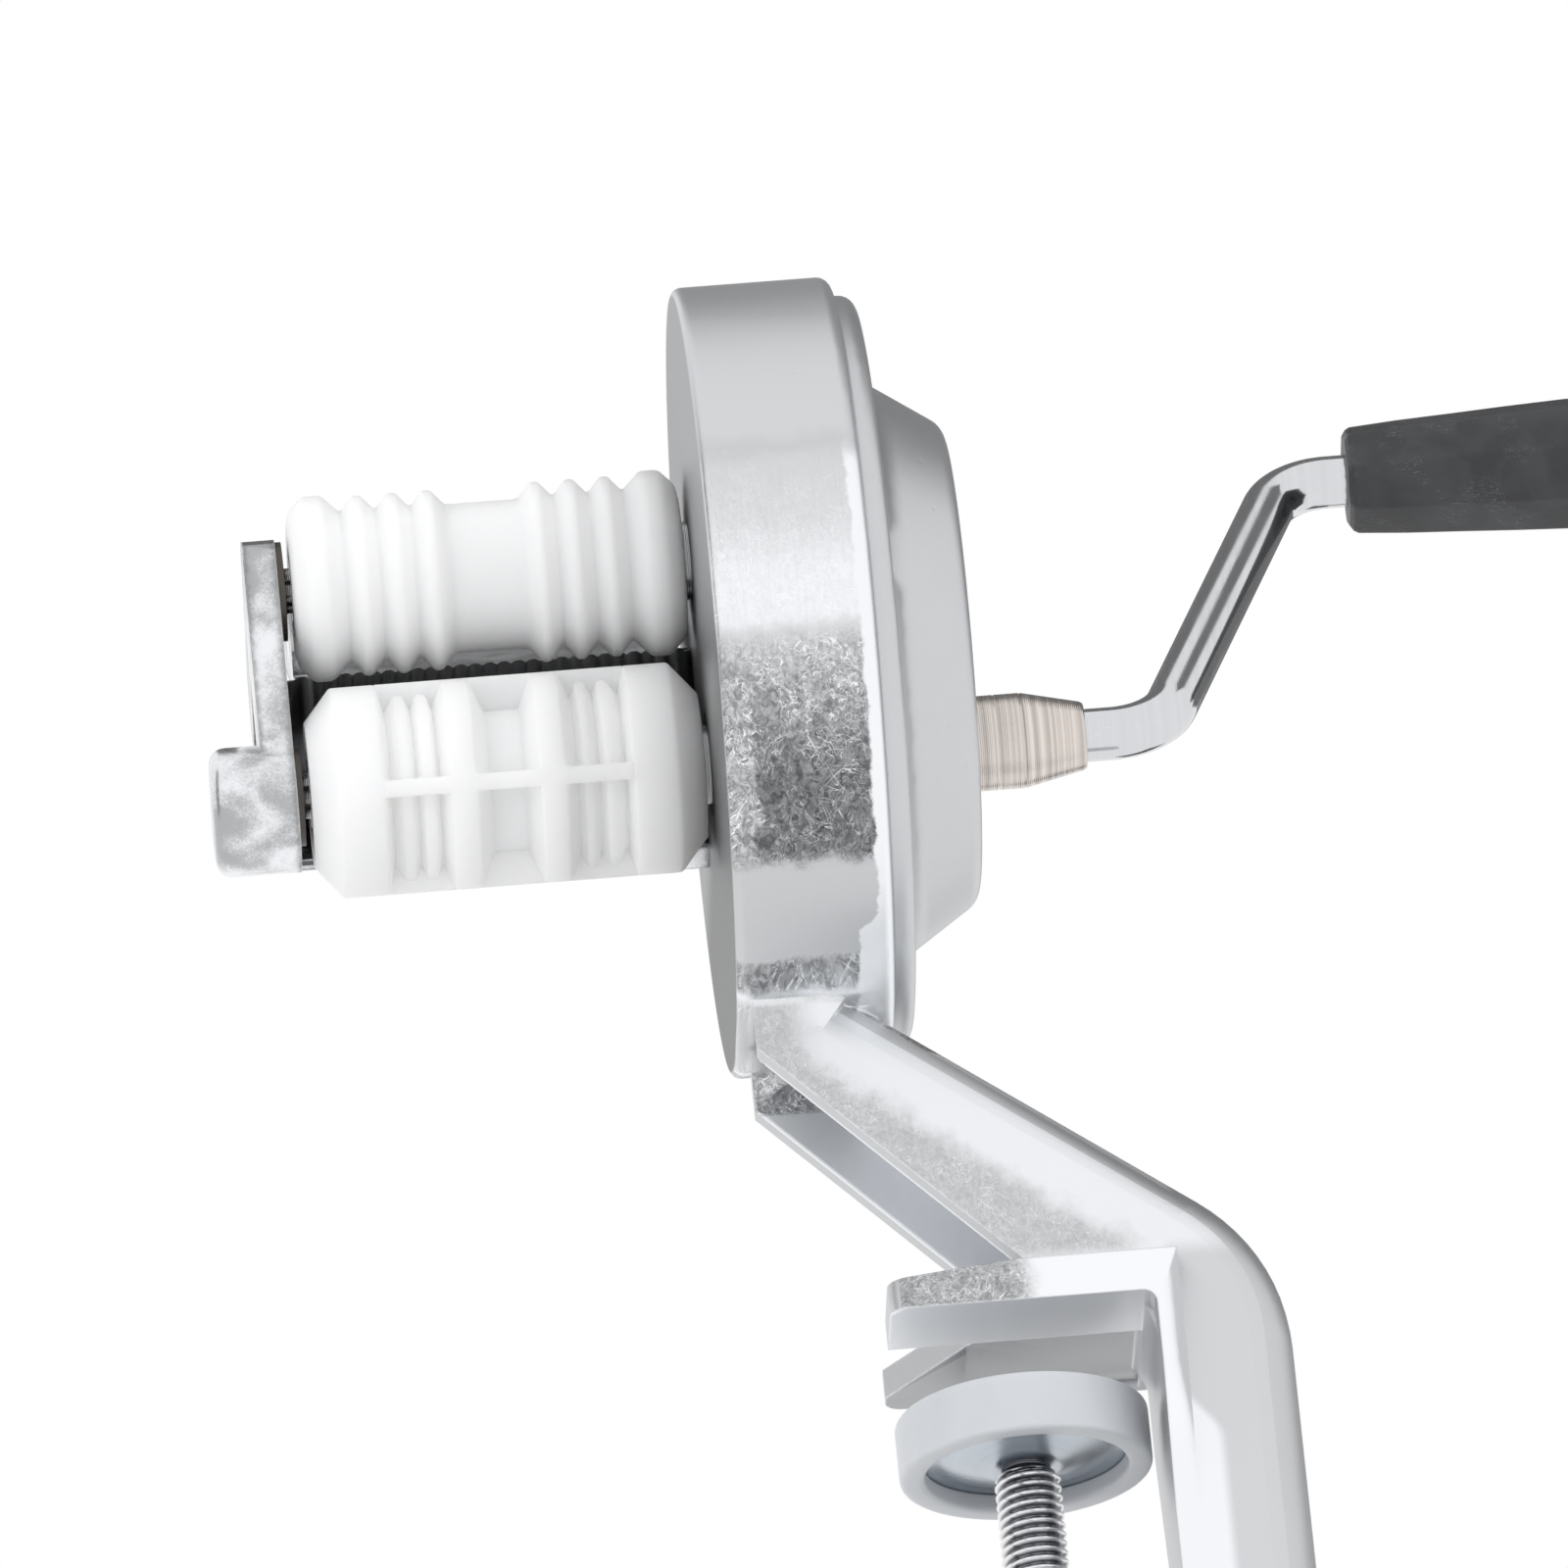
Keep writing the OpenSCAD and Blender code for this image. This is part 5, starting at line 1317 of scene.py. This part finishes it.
@dataclass
class Rollers:
    """The ridged feed roller and the bladed forming roller."""

    face_r: float = 10.0
    core_r: float = 11.3
    ridge_r: float = 13.7
    flange_r: float = 14.1
    flange_len: float = 8.3
    ridge_pitch: float = 5.3
    ridges: int = 3
    bore_r: float = 5.5
    forming_r: float = 15.9
    forming_face_r: float = 11.0
    end_land: float = 11.0
    rib_field: float = 10.0
    groove_len: float = 9.5
    field_ribs: int = 2
    rib_r: float = 14.0
    valley_r: float = 11.7
    groove_r: float = 10.7
    blade_w: float = 2.6
    blade_turn: float = -67.0
    blades: int = 4
    blade_slope: float = 0.9
    step_deg: float = 3.75
    ridge_land: float = 0.55
    face_corner: Span = (0.4, 11.8)
    flange_x: Span = (2.7, 5.5)
    rounding: Span = (0.7, 0.45)

    def feed_half(self) -> list[Span]:
        """Half of the feed roller's outline, from its end face to its middle."""
        corners = [(0.0, self.face_r), self.face_corner, (self.flange_x[0], self.flange_r),
                   (self.flange_x[1], self.flange_r), (self.flange_len, self.core_r)]
        for i in range(self.ridges):
            c = self.flange_len + (i + 0.5) * self.ridge_pitch
            corners += [(c - self.ridge_land, self.ridge_r), (c + self.ridge_land, self.ridge_r),
                        (c + self.ridge_pitch / 2, self.core_r)]
        return corners

    def forming_half(self) -> list[Span]:
        """Half of the forming roller's outline between its blades."""
        pitch = self.rib_field / (self.field_ribs + 1)
        step = (self.forming_r - self.valley_r) / 4
        edge = (LAYOUT.roller_len - self.groove_len) / 2
        drop = (self.forming_r - self.forming_face_r) * 0.85
        corners = [(0.0, self.forming_face_r), (drop, self.forming_r),
                   (self.end_land, self.forming_r), (self.end_land + step, self.valley_r)]
        for i in range(1, self.field_ribs + 1):
            corners += [(self.end_land + (i - 0.2) * pitch, self.rib_r),
                        (self.end_land + (i + 0.2) * pitch, self.rib_r),
                        (self.end_land + (i + 0.5) * pitch, self.valley_r)]
        return corners + [(self.end_land + self.rib_field, self.forming_r),
                          (edge, self.forming_r), (edge + 2 * step, self.groove_r)]

    def roller(self, name: str, half: list[Span], rounding: float, z: float,
               blades: int) -> bpy.types.Mesh:
        """A hollow roller about an axis along X.

        Args:
            name: The mesh's name.
            half: Half of its outline, as (place along it, radius).
            rounding: The radius of its corners.
            z: The axis's height.
            blades: How many blades bridge the outline's hollows.

        Returns:
            The mesh.
        """
        mirrored = [(LAYOUT.roller_len - x, r) for x, r in reversed(half)]
        outline = [(0.0, self.bore_r), *rounded(half + mirrored, rounding),
                   (LAYOUT.roller_len, self.bore_r)]
        wide = math.degrees(self.blade_w / 2 / self.forming_r)
        middles = [self.blade_turn + 360.0 * i / blades for i in range(blades)]
        turns = {round(self.step_deg * i, 3) for i in range(round(360.0 / self.step_deg))}
        turns |= {round((m + off) % 360.0, 3) for m in middles
                  for off in (-wide - self.blade_slope, -wide, wide, wide + self.blade_slope)}
        order = [(t, min((abs((t - m + 180) % 360 - 180) for m in middles), default=180.0)
                  <= wide + 0.01) for t in sorted(turns)]
        start = Vector((LAYOUT.roller_start_x, 0.0, z))
        rings = []
        for x, r in outline:
            inside = self.end_land < x < LAYOUT.roller_len - self.end_land
            ring = []
            for t, on_blade in order:
                a, out = math.radians(t), self.forming_r if on_blade and inside else r
                ring.append(start + Vector((x, -out * math.sin(a), out * math.cos(a))))
            rings.append(ring)
        return skin(name, rings, sharp_deg=34.0, loop=True)

    def build(self) -> None:
        """Builds both rollers."""
        for node, half, rounding, z, blades, body in (
                ("feed_roller", self.feed_half(), self.rounding[0], LAYOUT.feed_z, 0, "feed"),
                ("forming_roller", self.forming_half(), self.rounding[1], LAYOUT.forming_z,
                 self.blades, "drive")):
            finish_piece(node, self.roller(node, half, rounding, z, blades), Finish.ROLLER, body)


@dataclass
class Crank:
    """The collar on the shaft and the bent rod."""

    collar_x: float = 1.9
    collar_len: float = 18.2
    collar_d: float = 14.4
    root_d: float = 13.3
    tip_d: float = 9.8
    neck_d: float = 10.4
    rod_d: float = 8.0
    bend_out: float = 29.0
    bend_run: float = 25.2
    bend_r: float = 10.5
    rod_start: float = 7.9
    rod_end: float = 145.55
    bend_steps: int = 16
    root_x: Span = (0.9, 1.3)
    scribe_depth: float = 0.12
    groove_depth: float = 0.16

    def collar(self) -> None:
        """The turned collar, with a ring scribed at the end of its straight part."""
        n, r = self.collar_len, self.collar_d / 2
        scribe, groove = n * 0.25, n * 0.47
        profile = [(0.0, 0.0), (0.0, self.root_d / 2), (self.root_x[0], self.root_d / 2),
                   (self.root_x[1], r), (scribe, r), (scribe + 0.12, r - self.scribe_depth),
                   (scribe + 0.3, r), (groove, r), (groove + 0.15, r - self.groove_depth),
                   (n * 0.49, r - 0.02), (n - 0.5, self.neck_d / 2), (n, self.tip_d / 2), (n, 0.0)]
        lathe = Lathe(rounded(profile, radius=0.12, steps=2),
                      (self.collar_x, 0.0, LAYOUT.forming_z), sharp_deg=40.0)
        finish_piece("crank_collar", lathe.mesh("crank_collar"), Finish.COLLAR, "drive")

    def path(self) -> list[Point]:
        """The rod's centre line, with its two bends as fine arcs."""
        rise, run = LAYOUT.crank_r, self.bend_run
        turn = math.atan2(rise, run)
        reach = self.bend_r * math.tan(turn / 2)
        bend_x = LAYOUT.cover_top_x + self.bend_out
        arc = []
        for i in range(self.bend_steps + 1):
            a = turn * i / self.bend_steps
            arc.append((self.bend_r * math.sin(a) - reach, self.bend_r * (1 - math.cos(a))))
        points = [(self.rod_start, 0.0), *((bend_x + x, out) for x, out in arc),
                  *((bend_x + run - x, rise - out) for x, out in reversed(arc)),
                  (self.rod_end, rise)]
        return [LAYOUT.crank_point(x, out) for x, out in points]

    def rod(self) -> None:
        """The chromed rod."""
        points = [tuple(c * MM for c in p) for p in self.path()]
        mesh = bpy.data.meshes.new("crank_rod")
        mesh.from_pydata(points, [(i, i + 1) for i in range(len(points) - 1)], [])
        obj = sweep_tree().apply(link_mesh("crank_rod_dressed", mesh), Finish.CHROME,
                                 Radius=self.rod_d / 2 * MM)
        work = bmesh.new()
        work.from_mesh(obj.data)
        bmesh.ops.remove_doubles(work, verts=work.verts, dist=1e-7)
        bmesh.ops.recalc_face_normals(work, faces=work.faces)
        work.to_mesh(obj.data)
        work.free()
        shade(obj.data, sharp_deg=40.0)
        finish_piece("crank_rod", obj, Finish.CHROME, "drive")

    def build(self) -> None:
        """Builds the collar and the rod."""
        self.collar()
        self.rod()


@dataclass
class Grip:
    """The eight sided grip, which turns on the rod's end, and its plug."""

    start_x: float = 67.0
    length: float = 86.0
    start_d: float = 17.0
    max_d: float = 21.4
    end_d: float = 18.0
    edge: float = 1.3
    edge_drop: float = 0.4
    corner_r: float = 1.1
    sides: int = 8
    corner_steps: int = 5
    bore_r: float = 4.1
    socket_r: float = 6.5
    socket_len: float = 8.0
    plug_len: float = 4.0
    plug_gap: float = 0.05
    swell: tuple[Span, ...] = ((0.1, 0.25), (0.2, 0.45), (0.3, 0.67), (0.4, 0.85), (0.5, 0.96),
                               (0.6, 1.0), (0.7, 0.94), (0.78, 0.85), (0.9, 0.4))

    def outline(self) -> list[Span]:
        """Places along the grip with the distance from its axis to its corners."""
        start, end = ([(0.0, d / 2 - self.edge), (self.edge * 0.45, d / 2 - self.edge_drop),
                       (self.edge, d / 2)] for d in (self.start_d, self.end_d))
        middle = []
        for share, part in self.swell:
            low = self.start_d if share < 0.6 else self.end_d
            middle.append((self.length * share, low / 2 + (self.max_d - low) / 2 * part))
        return start + middle + [(self.length - x, r) for x, r in reversed(end)]

    def section(self, r: float) -> list[Span]:
        """A polygon with rounded corners, its corners r from the middle before the rounding."""
        points = []
        half = math.pi / self.sides
        inner = r - self.corner_r / math.cos(half)
        for k in range(self.sides):
            a = 2 * half * k
            for i in range(self.corner_steps):
                b = a + half * (i * 2 / (self.corner_steps - 1) - 1)
                points.append((inner * math.cos(a) + self.corner_r * math.cos(b),
                               inner * math.sin(a) + self.corner_r * math.sin(b)))
        return points

    def build(self) -> None:
        """Builds the grip, its far end hollowed for the plug."""
        lean = math.radians(LAYOUT.lean_deg)
        up = Vector((0.0, math.sin(lean), math.cos(lean)))
        side = Vector((0.0, math.cos(lean), -math.sin(lean)))
        middle = Vector(LAYOUT.crank_point(self.start_x, LAYOUT.crank_r))
        n, count = self.length, self.sides * self.corner_steps
        turns = [2 * math.pi * (k - 2) / count for k in range(count)]
        rows = [(x, self.section(r)) for x, r in self.outline()]
        rows += [(x, [(r * math.cos(t), r * math.sin(t)) for t in turns])
                 for x, r in ((n, self.socket_r), (n - self.socket_len, self.socket_r),
                              (n - self.socket_len, self.bore_r), (0.0, self.bore_r))]
        rings = [[middle + Vector((x, 0, 0)) + up * u + side * v for u, v in row]
                 for x, row in rows]
        grip = skin("grip", rings, sharp_deg=24.0, loop=True)
        finish_piece("grip", grip, Finish.GRIP, "grip")
        r = self.socket_r - self.plug_gap
        plug = Lathe(rounded([(n - self.plug_len, 0.0), (n - self.plug_len, r), (n - 0.7, r),
                              (n - 0.1, r - 0.65), (n - 0.05, 3.0), (n - 0.5, 0.0)],
                             radius=0.25), tuple(middle), steps=48)
        finish_piece("grip_plug", plug.mesh("grip_plug"), Finish.KNOB, "grip")


@dataclass
class Clamp:
    """The clamp's pad with its dish, and the screw with its thread."""

    pad_d: float = 38.0
    pad_top: float = -10.8
    pad_low: float = -20.0
    pad_wall: float = 3.0
    pad_lip: float = 0.8
    seat: float = -15.9
    dish_t: float = 1.2
    dish_gap: float = 0.05
    dish_flat: float = 2.4
    dome: float = 2.1
    hub_r: Span = (3.6, 5.6)
    neck_r: float = 3.5
    rivet_r: float = 5.0
    rivet_z: Span = (-17.7, -16.2)
    thread_top: float = -19.5
    overlap: float = 1.0
    head_top: float = -89.5
    head_r: float = 7.0
    head_flat_r: float = 5.8
    head_len: float = 14.0

    def pad(self) -> None:
        """The moulded pad."""
        r, inner, floor = self.pad_d / 2, self.pad_d / 2 - self.pad_wall, self.seat - self.dish_t
        profile = [(self.pad_top, 0.0), (self.pad_top, r), (self.pad_low, r),
                   (self.pad_low, inner - self.pad_lip), (floor, inner - self.pad_lip),
                   (floor, inner), (self.seat, inner), (self.seat, 0.0)]
        lathe = Lathe(rounded(profile, radius=1.0, steps=5), axis="Z", steps=144, sharp_deg=35.0)
        finish_piece("pad_cap", lathe.mesh("pad_cap"), Finish.PAD, "pad")

    def dish(self) -> None:
        """The pressed dish, open round the screw's neck."""
        r = self.pad_d / 2 - self.pad_wall - self.dish_gap
        shape = [(self.seat - self.dome, self.hub_r[0]), (self.seat - self.dome, self.hub_r[1]),
                 (self.seat, r - self.dish_flat), (self.seat, r)]
        below = [(z - self.dish_t, q) for z, q in reversed(shape)]
        lathe = Lathe(rounded(shape + below, radius=0.7), axis="Z", steps=144, sharp_deg=35.0,
                      loop=True)
        finish_piece("pad_dish", lathe.mesh("pad_dish"), Finish.ZINC, "pad")

    def screw(self) -> None:
        """The screw: a cut thread between a riveted neck and a drilled head."""
        length = self.thread_top - self.head_top + self.overlap
        seed = bpy.data.meshes.new("clamp_screw")
        obj = thread_tree().apply(link_mesh("clamp_screw_dressed", seed), Finish.CLAMP_THREAD,
                                  Length=length * MM, Neck_Radius=(self.neck_r + 0.05) * MM)
        obj.data.transform(Matrix.Translation((0, 0, (self.thread_top - length / 2) * MM)))
        start, (low, top) = self.thread_top - self.overlap, self.rivet_z
        neck = Lathe(rounded([(start, 0.0), (start, self.neck_r), (low, self.neck_r),
                              (low, self.rivet_r), (top, self.rivet_r), (top, 0.0)],
                             radius=0.2), axis="Z", steps=48)
        end, flat = self.head_top - self.head_len, self.head_flat_r
        chamfer = self.head_r - flat
        head = Lathe(rounded([(end, 0.0), (end, flat), (end + chamfer, self.head_r),
                              (self.head_top - chamfer, self.head_r), (self.head_top, flat),
                              (self.head_top, 0.0)], radius=0.4), axis="Z", steps=64)
        work = bmesh.new()
        for mesh in (obj.data, neck.mesh("neck"), head.mesh("head")):
            work.from_mesh(mesh)
        obj.data = bpy.data.meshes.new("clamp_screw")
        work.to_mesh(obj.data)
        work.free()
        shade(obj.data, sharp_deg=50.0)
        finish_piece("clamp_screw", obj, Finish.CLAMP_THREAD, "screw")

    def build(self) -> None:
        """Builds the pad, the dish and the screw."""
        self.pad()
        self.dish()
        self.screw()


@dataclass
class Workings:
    """Bushes, shafts, gears, clips and the clamp's bar with its knobs, all as in the CAD model."""

    groups: tuple[tuple[Finish, str, str, tuple[str, ...]], ...] = (
        (Finish.SHADED_BRONZE, "casting", "bush_bronze",
         ("feed_face_bush", "forming_face_bush", "feed_end_bush", "forming_end_bush",
          "cover_bush")),
        (Finish.SHAFT, "casting", "shaft_steel", ("idler_pin",)),
        (Finish.CLIP, "casting", "clip_steel", ("idler_clip",)),
        (Finish.SHAFT, "drive", "shaft_steel", ("forming_shaft",)),
        (Finish.GEAR, "drive", "gear_steel", ("pinion",)),
        (Finish.CLIP, "drive", "clip_steel", ("pinion_clip",)),
        (Finish.SCREW, "drive", "screw_steel", ("rod_washer",)),
        (Finish.GEAR, "idler", "gear_steel", ("idler_gear",)),
        (Finish.SHAFT, "feed", "shaft_steel", ("feed_shaft",)),
        (Finish.GEAR, "feed", "gear_steel", ("feed_gear",)),
        (Finish.CLIP, "feed", "clip_steel", ("feed_gear_clip",)),
        (Finish.CLAMP_BAR, "screw", "clamp_steel", ("cross_bar",)),
        (Finish.KNOB, "screw", "knob_black", ("bar_knobs",)),
    )

    def build(self) -> None:
        """Dresses every node of every group."""
        for finish, body, slot, nodes in self.groups:
            for node in nodes:
                finish_piece(node, dressed_copy(node), finish, body)


# --- Studio --------------------------------------------------------------------------------------


@dataclass
class PhotoCamera:
    """The photograph's camera: it looks up at the object from below, from some way off."""

    azimuth: float = 3.126
    elevation: float = -23.0
    roll: float = -5.657
    focal_px: float = 24000.0
    image_px: float = 1600.0
    distance: float = 3557.65
    aim: Point = (-37.0, 0.0, 112.0)
    shift_right: float = -12.626
    shift_up: float = 15.105
    sensor_mm: float = 36.0
    clip_m: Span = (0.1, 20.0)

    def build(self) -> None:
        """Makes the camera and sets it as the scene's."""
        a, e, r = (math.radians(v) for v in (self.azimuth, self.elevation, self.roll))
        back = Vector((-math.sin(a) * math.cos(e), -math.cos(a) * math.cos(e), math.sin(e)))
        level = (-back).cross(Vector((0, 0, 1))).normalized()
        upright = level.cross(-back)
        right = level * math.cos(r) + upright * math.sin(r)
        up = upright * math.cos(r) - level * math.sin(r)
        place = (Vector(self.aim) - right * self.shift_right - up * self.shift_up
                 + back * self.distance)
        data = bpy.data.cameras.new("photo_camera")
        data.sensor_fit = "AUTO"
        data.sensor_width = self.sensor_mm
        data.lens = self.sensor_mm * self.focal_px / self.image_px
        data.clip_start, data.clip_end = self.clip_m
        camera = bpy.data.objects.new("photo_camera", data)
        bpy.context.scene.collection.objects.link(camera)
        turned = Matrix((right, up, back)).transposed().to_4x4()
        turned.translation = place * MM
        camera.matrix_world = turned
        bpy.context.scene.camera = camera


@dataclass
class Studio:
    """A white studio: plain world light, two soft lamps, a pale floor and a few dark cards."""

    world_level: float = 0.88
    floor_z: float = -0.146
    floor_r: float = 2.4
    floor_colour: Colour = (0.93, 0.93, 0.93)
    lamp_aim: Point = (0.0, 0.0, 0.07)
    lamps: tuple[tuple[str, Point, float, float], ...] = (
        ("key", (0.7, -1.5, 1.2), 1.5, 8.0),
        ("fill", (-1.4, -1.3, 0.1), 1.4, 6.0),
    )
    cards: tuple[tuple[str, Point, Point, Span, float], ...] = (
        ("card_high", (0.54, 0.88, 1.22), (0.04, 0.02, 0.13), (2.0, 2.0), 0.20),
        ("card_left", (-1.5, -0.15, 0.7), (-0.1, 0.0, 0.1), (0.5, 1.4), 0.12),
        ("card_low", (0.65, 2.0, -0.75), (0.0, 0.0, -0.02), (0.8, 0.7), 0.12),
    )

    def world(self) -> None:
        """White for what the camera and reflections see, a plain level for the object's light."""
        world = bpy.data.worlds.new("white_studio")
        bpy.context.scene.world = world
        world.use_nodes = True
        world.node_tree.nodes.clear()
        w = Wiring(world.node_tree)
        path = w.add("ShaderNodeLightPath")
        seen = w.highest(path.outputs["Is Camera Ray"], path.outputs["Is Glossy Ray"],
                         path.outputs["Is Transmission Ray"])
        level = w.add("ShaderNodeMapRange")
        w.put(level.inputs["Value"], seen)
        w.put(level.inputs["To Min"], self.world_level)
        w.put(level.inputs["To Max"], 1.0)
        light = w.add("ShaderNodeBackground")
        w.put(light.inputs["Color"], (1.0, 1.0, 1.0))
        w.put(light.inputs["Strength"], level.outputs[0])
        w.surface("ShaderNodeOutputWorld", light.outputs[0])

    @staticmethod
    def aimed(place: Point, target: Point) -> Matrix:
        """The matrix of something at place whose -Z looks at target."""
        turn = (Vector(target) - Vector(place)).to_track_quat("-Z", "Y")
        return Matrix.Translation(place) @ turn.to_matrix().to_4x4()

    def lights(self) -> None:
        """The soft lamps."""
        for name, place, size, watts in self.lamps:
            data = bpy.data.lights.new(name, "AREA")
            data.shape = "DISK"
            data.size, data.energy = size, watts
            lamp = bpy.data.objects.new(name, data)
            lamp.visible_glossy = False
            bpy.context.scene.collection.objects.link(lamp)
            lamp.matrix_world = self.aimed(place, self.lamp_aim)

    @staticmethod
    def plain(name: str, colour: Colour) -> tuple[bpy.types.Material, Wiring, bpy.types.Node]:
        """Opens a stage material and its diffuse shader."""
        material = bpy.data.materials.new(name)
        material.use_nodes = True
        material.node_tree.nodes.clear()
        w = Wiring(material.node_tree)
        shader = w.add("ShaderNodeBsdfDiffuse")
        w.put(shader.inputs["Color"], colour)
        return material, w, shader

    def floor(self) -> None:
        """A pale floor that keeps the object's shadow, fades out, and can't be seen from below."""
        bpy.ops.mesh.primitive_circle_add(vertices=96, radius=self.floor_r, fill_type="NGON",
                                          location=(0.0, 0.0, self.floor_z))
        floor = bpy.context.active_object
        floor.name = "floor"
        material, w, shader = self.plain("pale_floor", self.floor_colour)
        clear = w.add("ShaderNodeBsdfTransparent")
        geometry = w.add("ShaderNodeNewGeometry")
        coordinates = w.add("ShaderNodeTexCoord")
        far = w.remap(w.vector("LENGTH", coordinates.outputs["Object"]).outputs["Value"],
                      self.floor_r * 0.25, self.floor_r * 0.95)
        mix = w.add("ShaderNodeMixShader")
        w.put(mix.inputs[0], w.highest(geometry.outputs["Backfacing"], far))
        w.tree.links.new(shader.outputs[0], mix.inputs[1])
        w.tree.links.new(clear.outputs[0], mix.inputs[2])
        w.surface("ShaderNodeOutputMaterial", mix.outputs[0])
        floor.data.materials.append(material)
        floor.visible_glossy = False

    def dark_cards(self) -> None:
        """Grey cards that only reflections see, for the dark streaks in bright metal."""
        for name, place, target, (wide, high), level in self.cards:
            mesh = bpy.data.meshes.new(name)
            x, y = wide / 2, high / 2
            mesh.from_pydata([(-x, -y, 0), (x, -y, 0), (x, y, 0), (-x, y, 0)], [], [(0, 1, 2, 3)])
            card = link_mesh(name, mesh)
            card.matrix_world = self.aimed(place, target)
            material, w, shader = self.plain(name, (level, level, level))
            w.surface("ShaderNodeOutputMaterial", shader.outputs[0])
            mesh.materials.append(material)
            card.visible_camera = card.visible_diffuse = card.visible_shadow = False
            card.visible_transmission = False

    def build(self) -> None:
        """Builds the studio and sets the plain view transform."""
        bpy.context.scene.view_settings.view_transform = "Standard"
        self.world()
        self.lights()
        self.floor()
        self.dark_cards()


def main() -> None:
    """Builds the camera, the studio and every sub-assembly in order."""
    logging.basicConfig(level=logging.INFO, format="%(name)s: %(message)s")
    parts = (PhotoCamera(), Studio(), Castings(), Fasteners(), Rollers(), Crank(), Grip(), Clamp(),
             Workings())
    for part in parts:
        part.build()
        LOG.info("%s built", type(part).__name__)


if __name__ == "__main__":
    main()
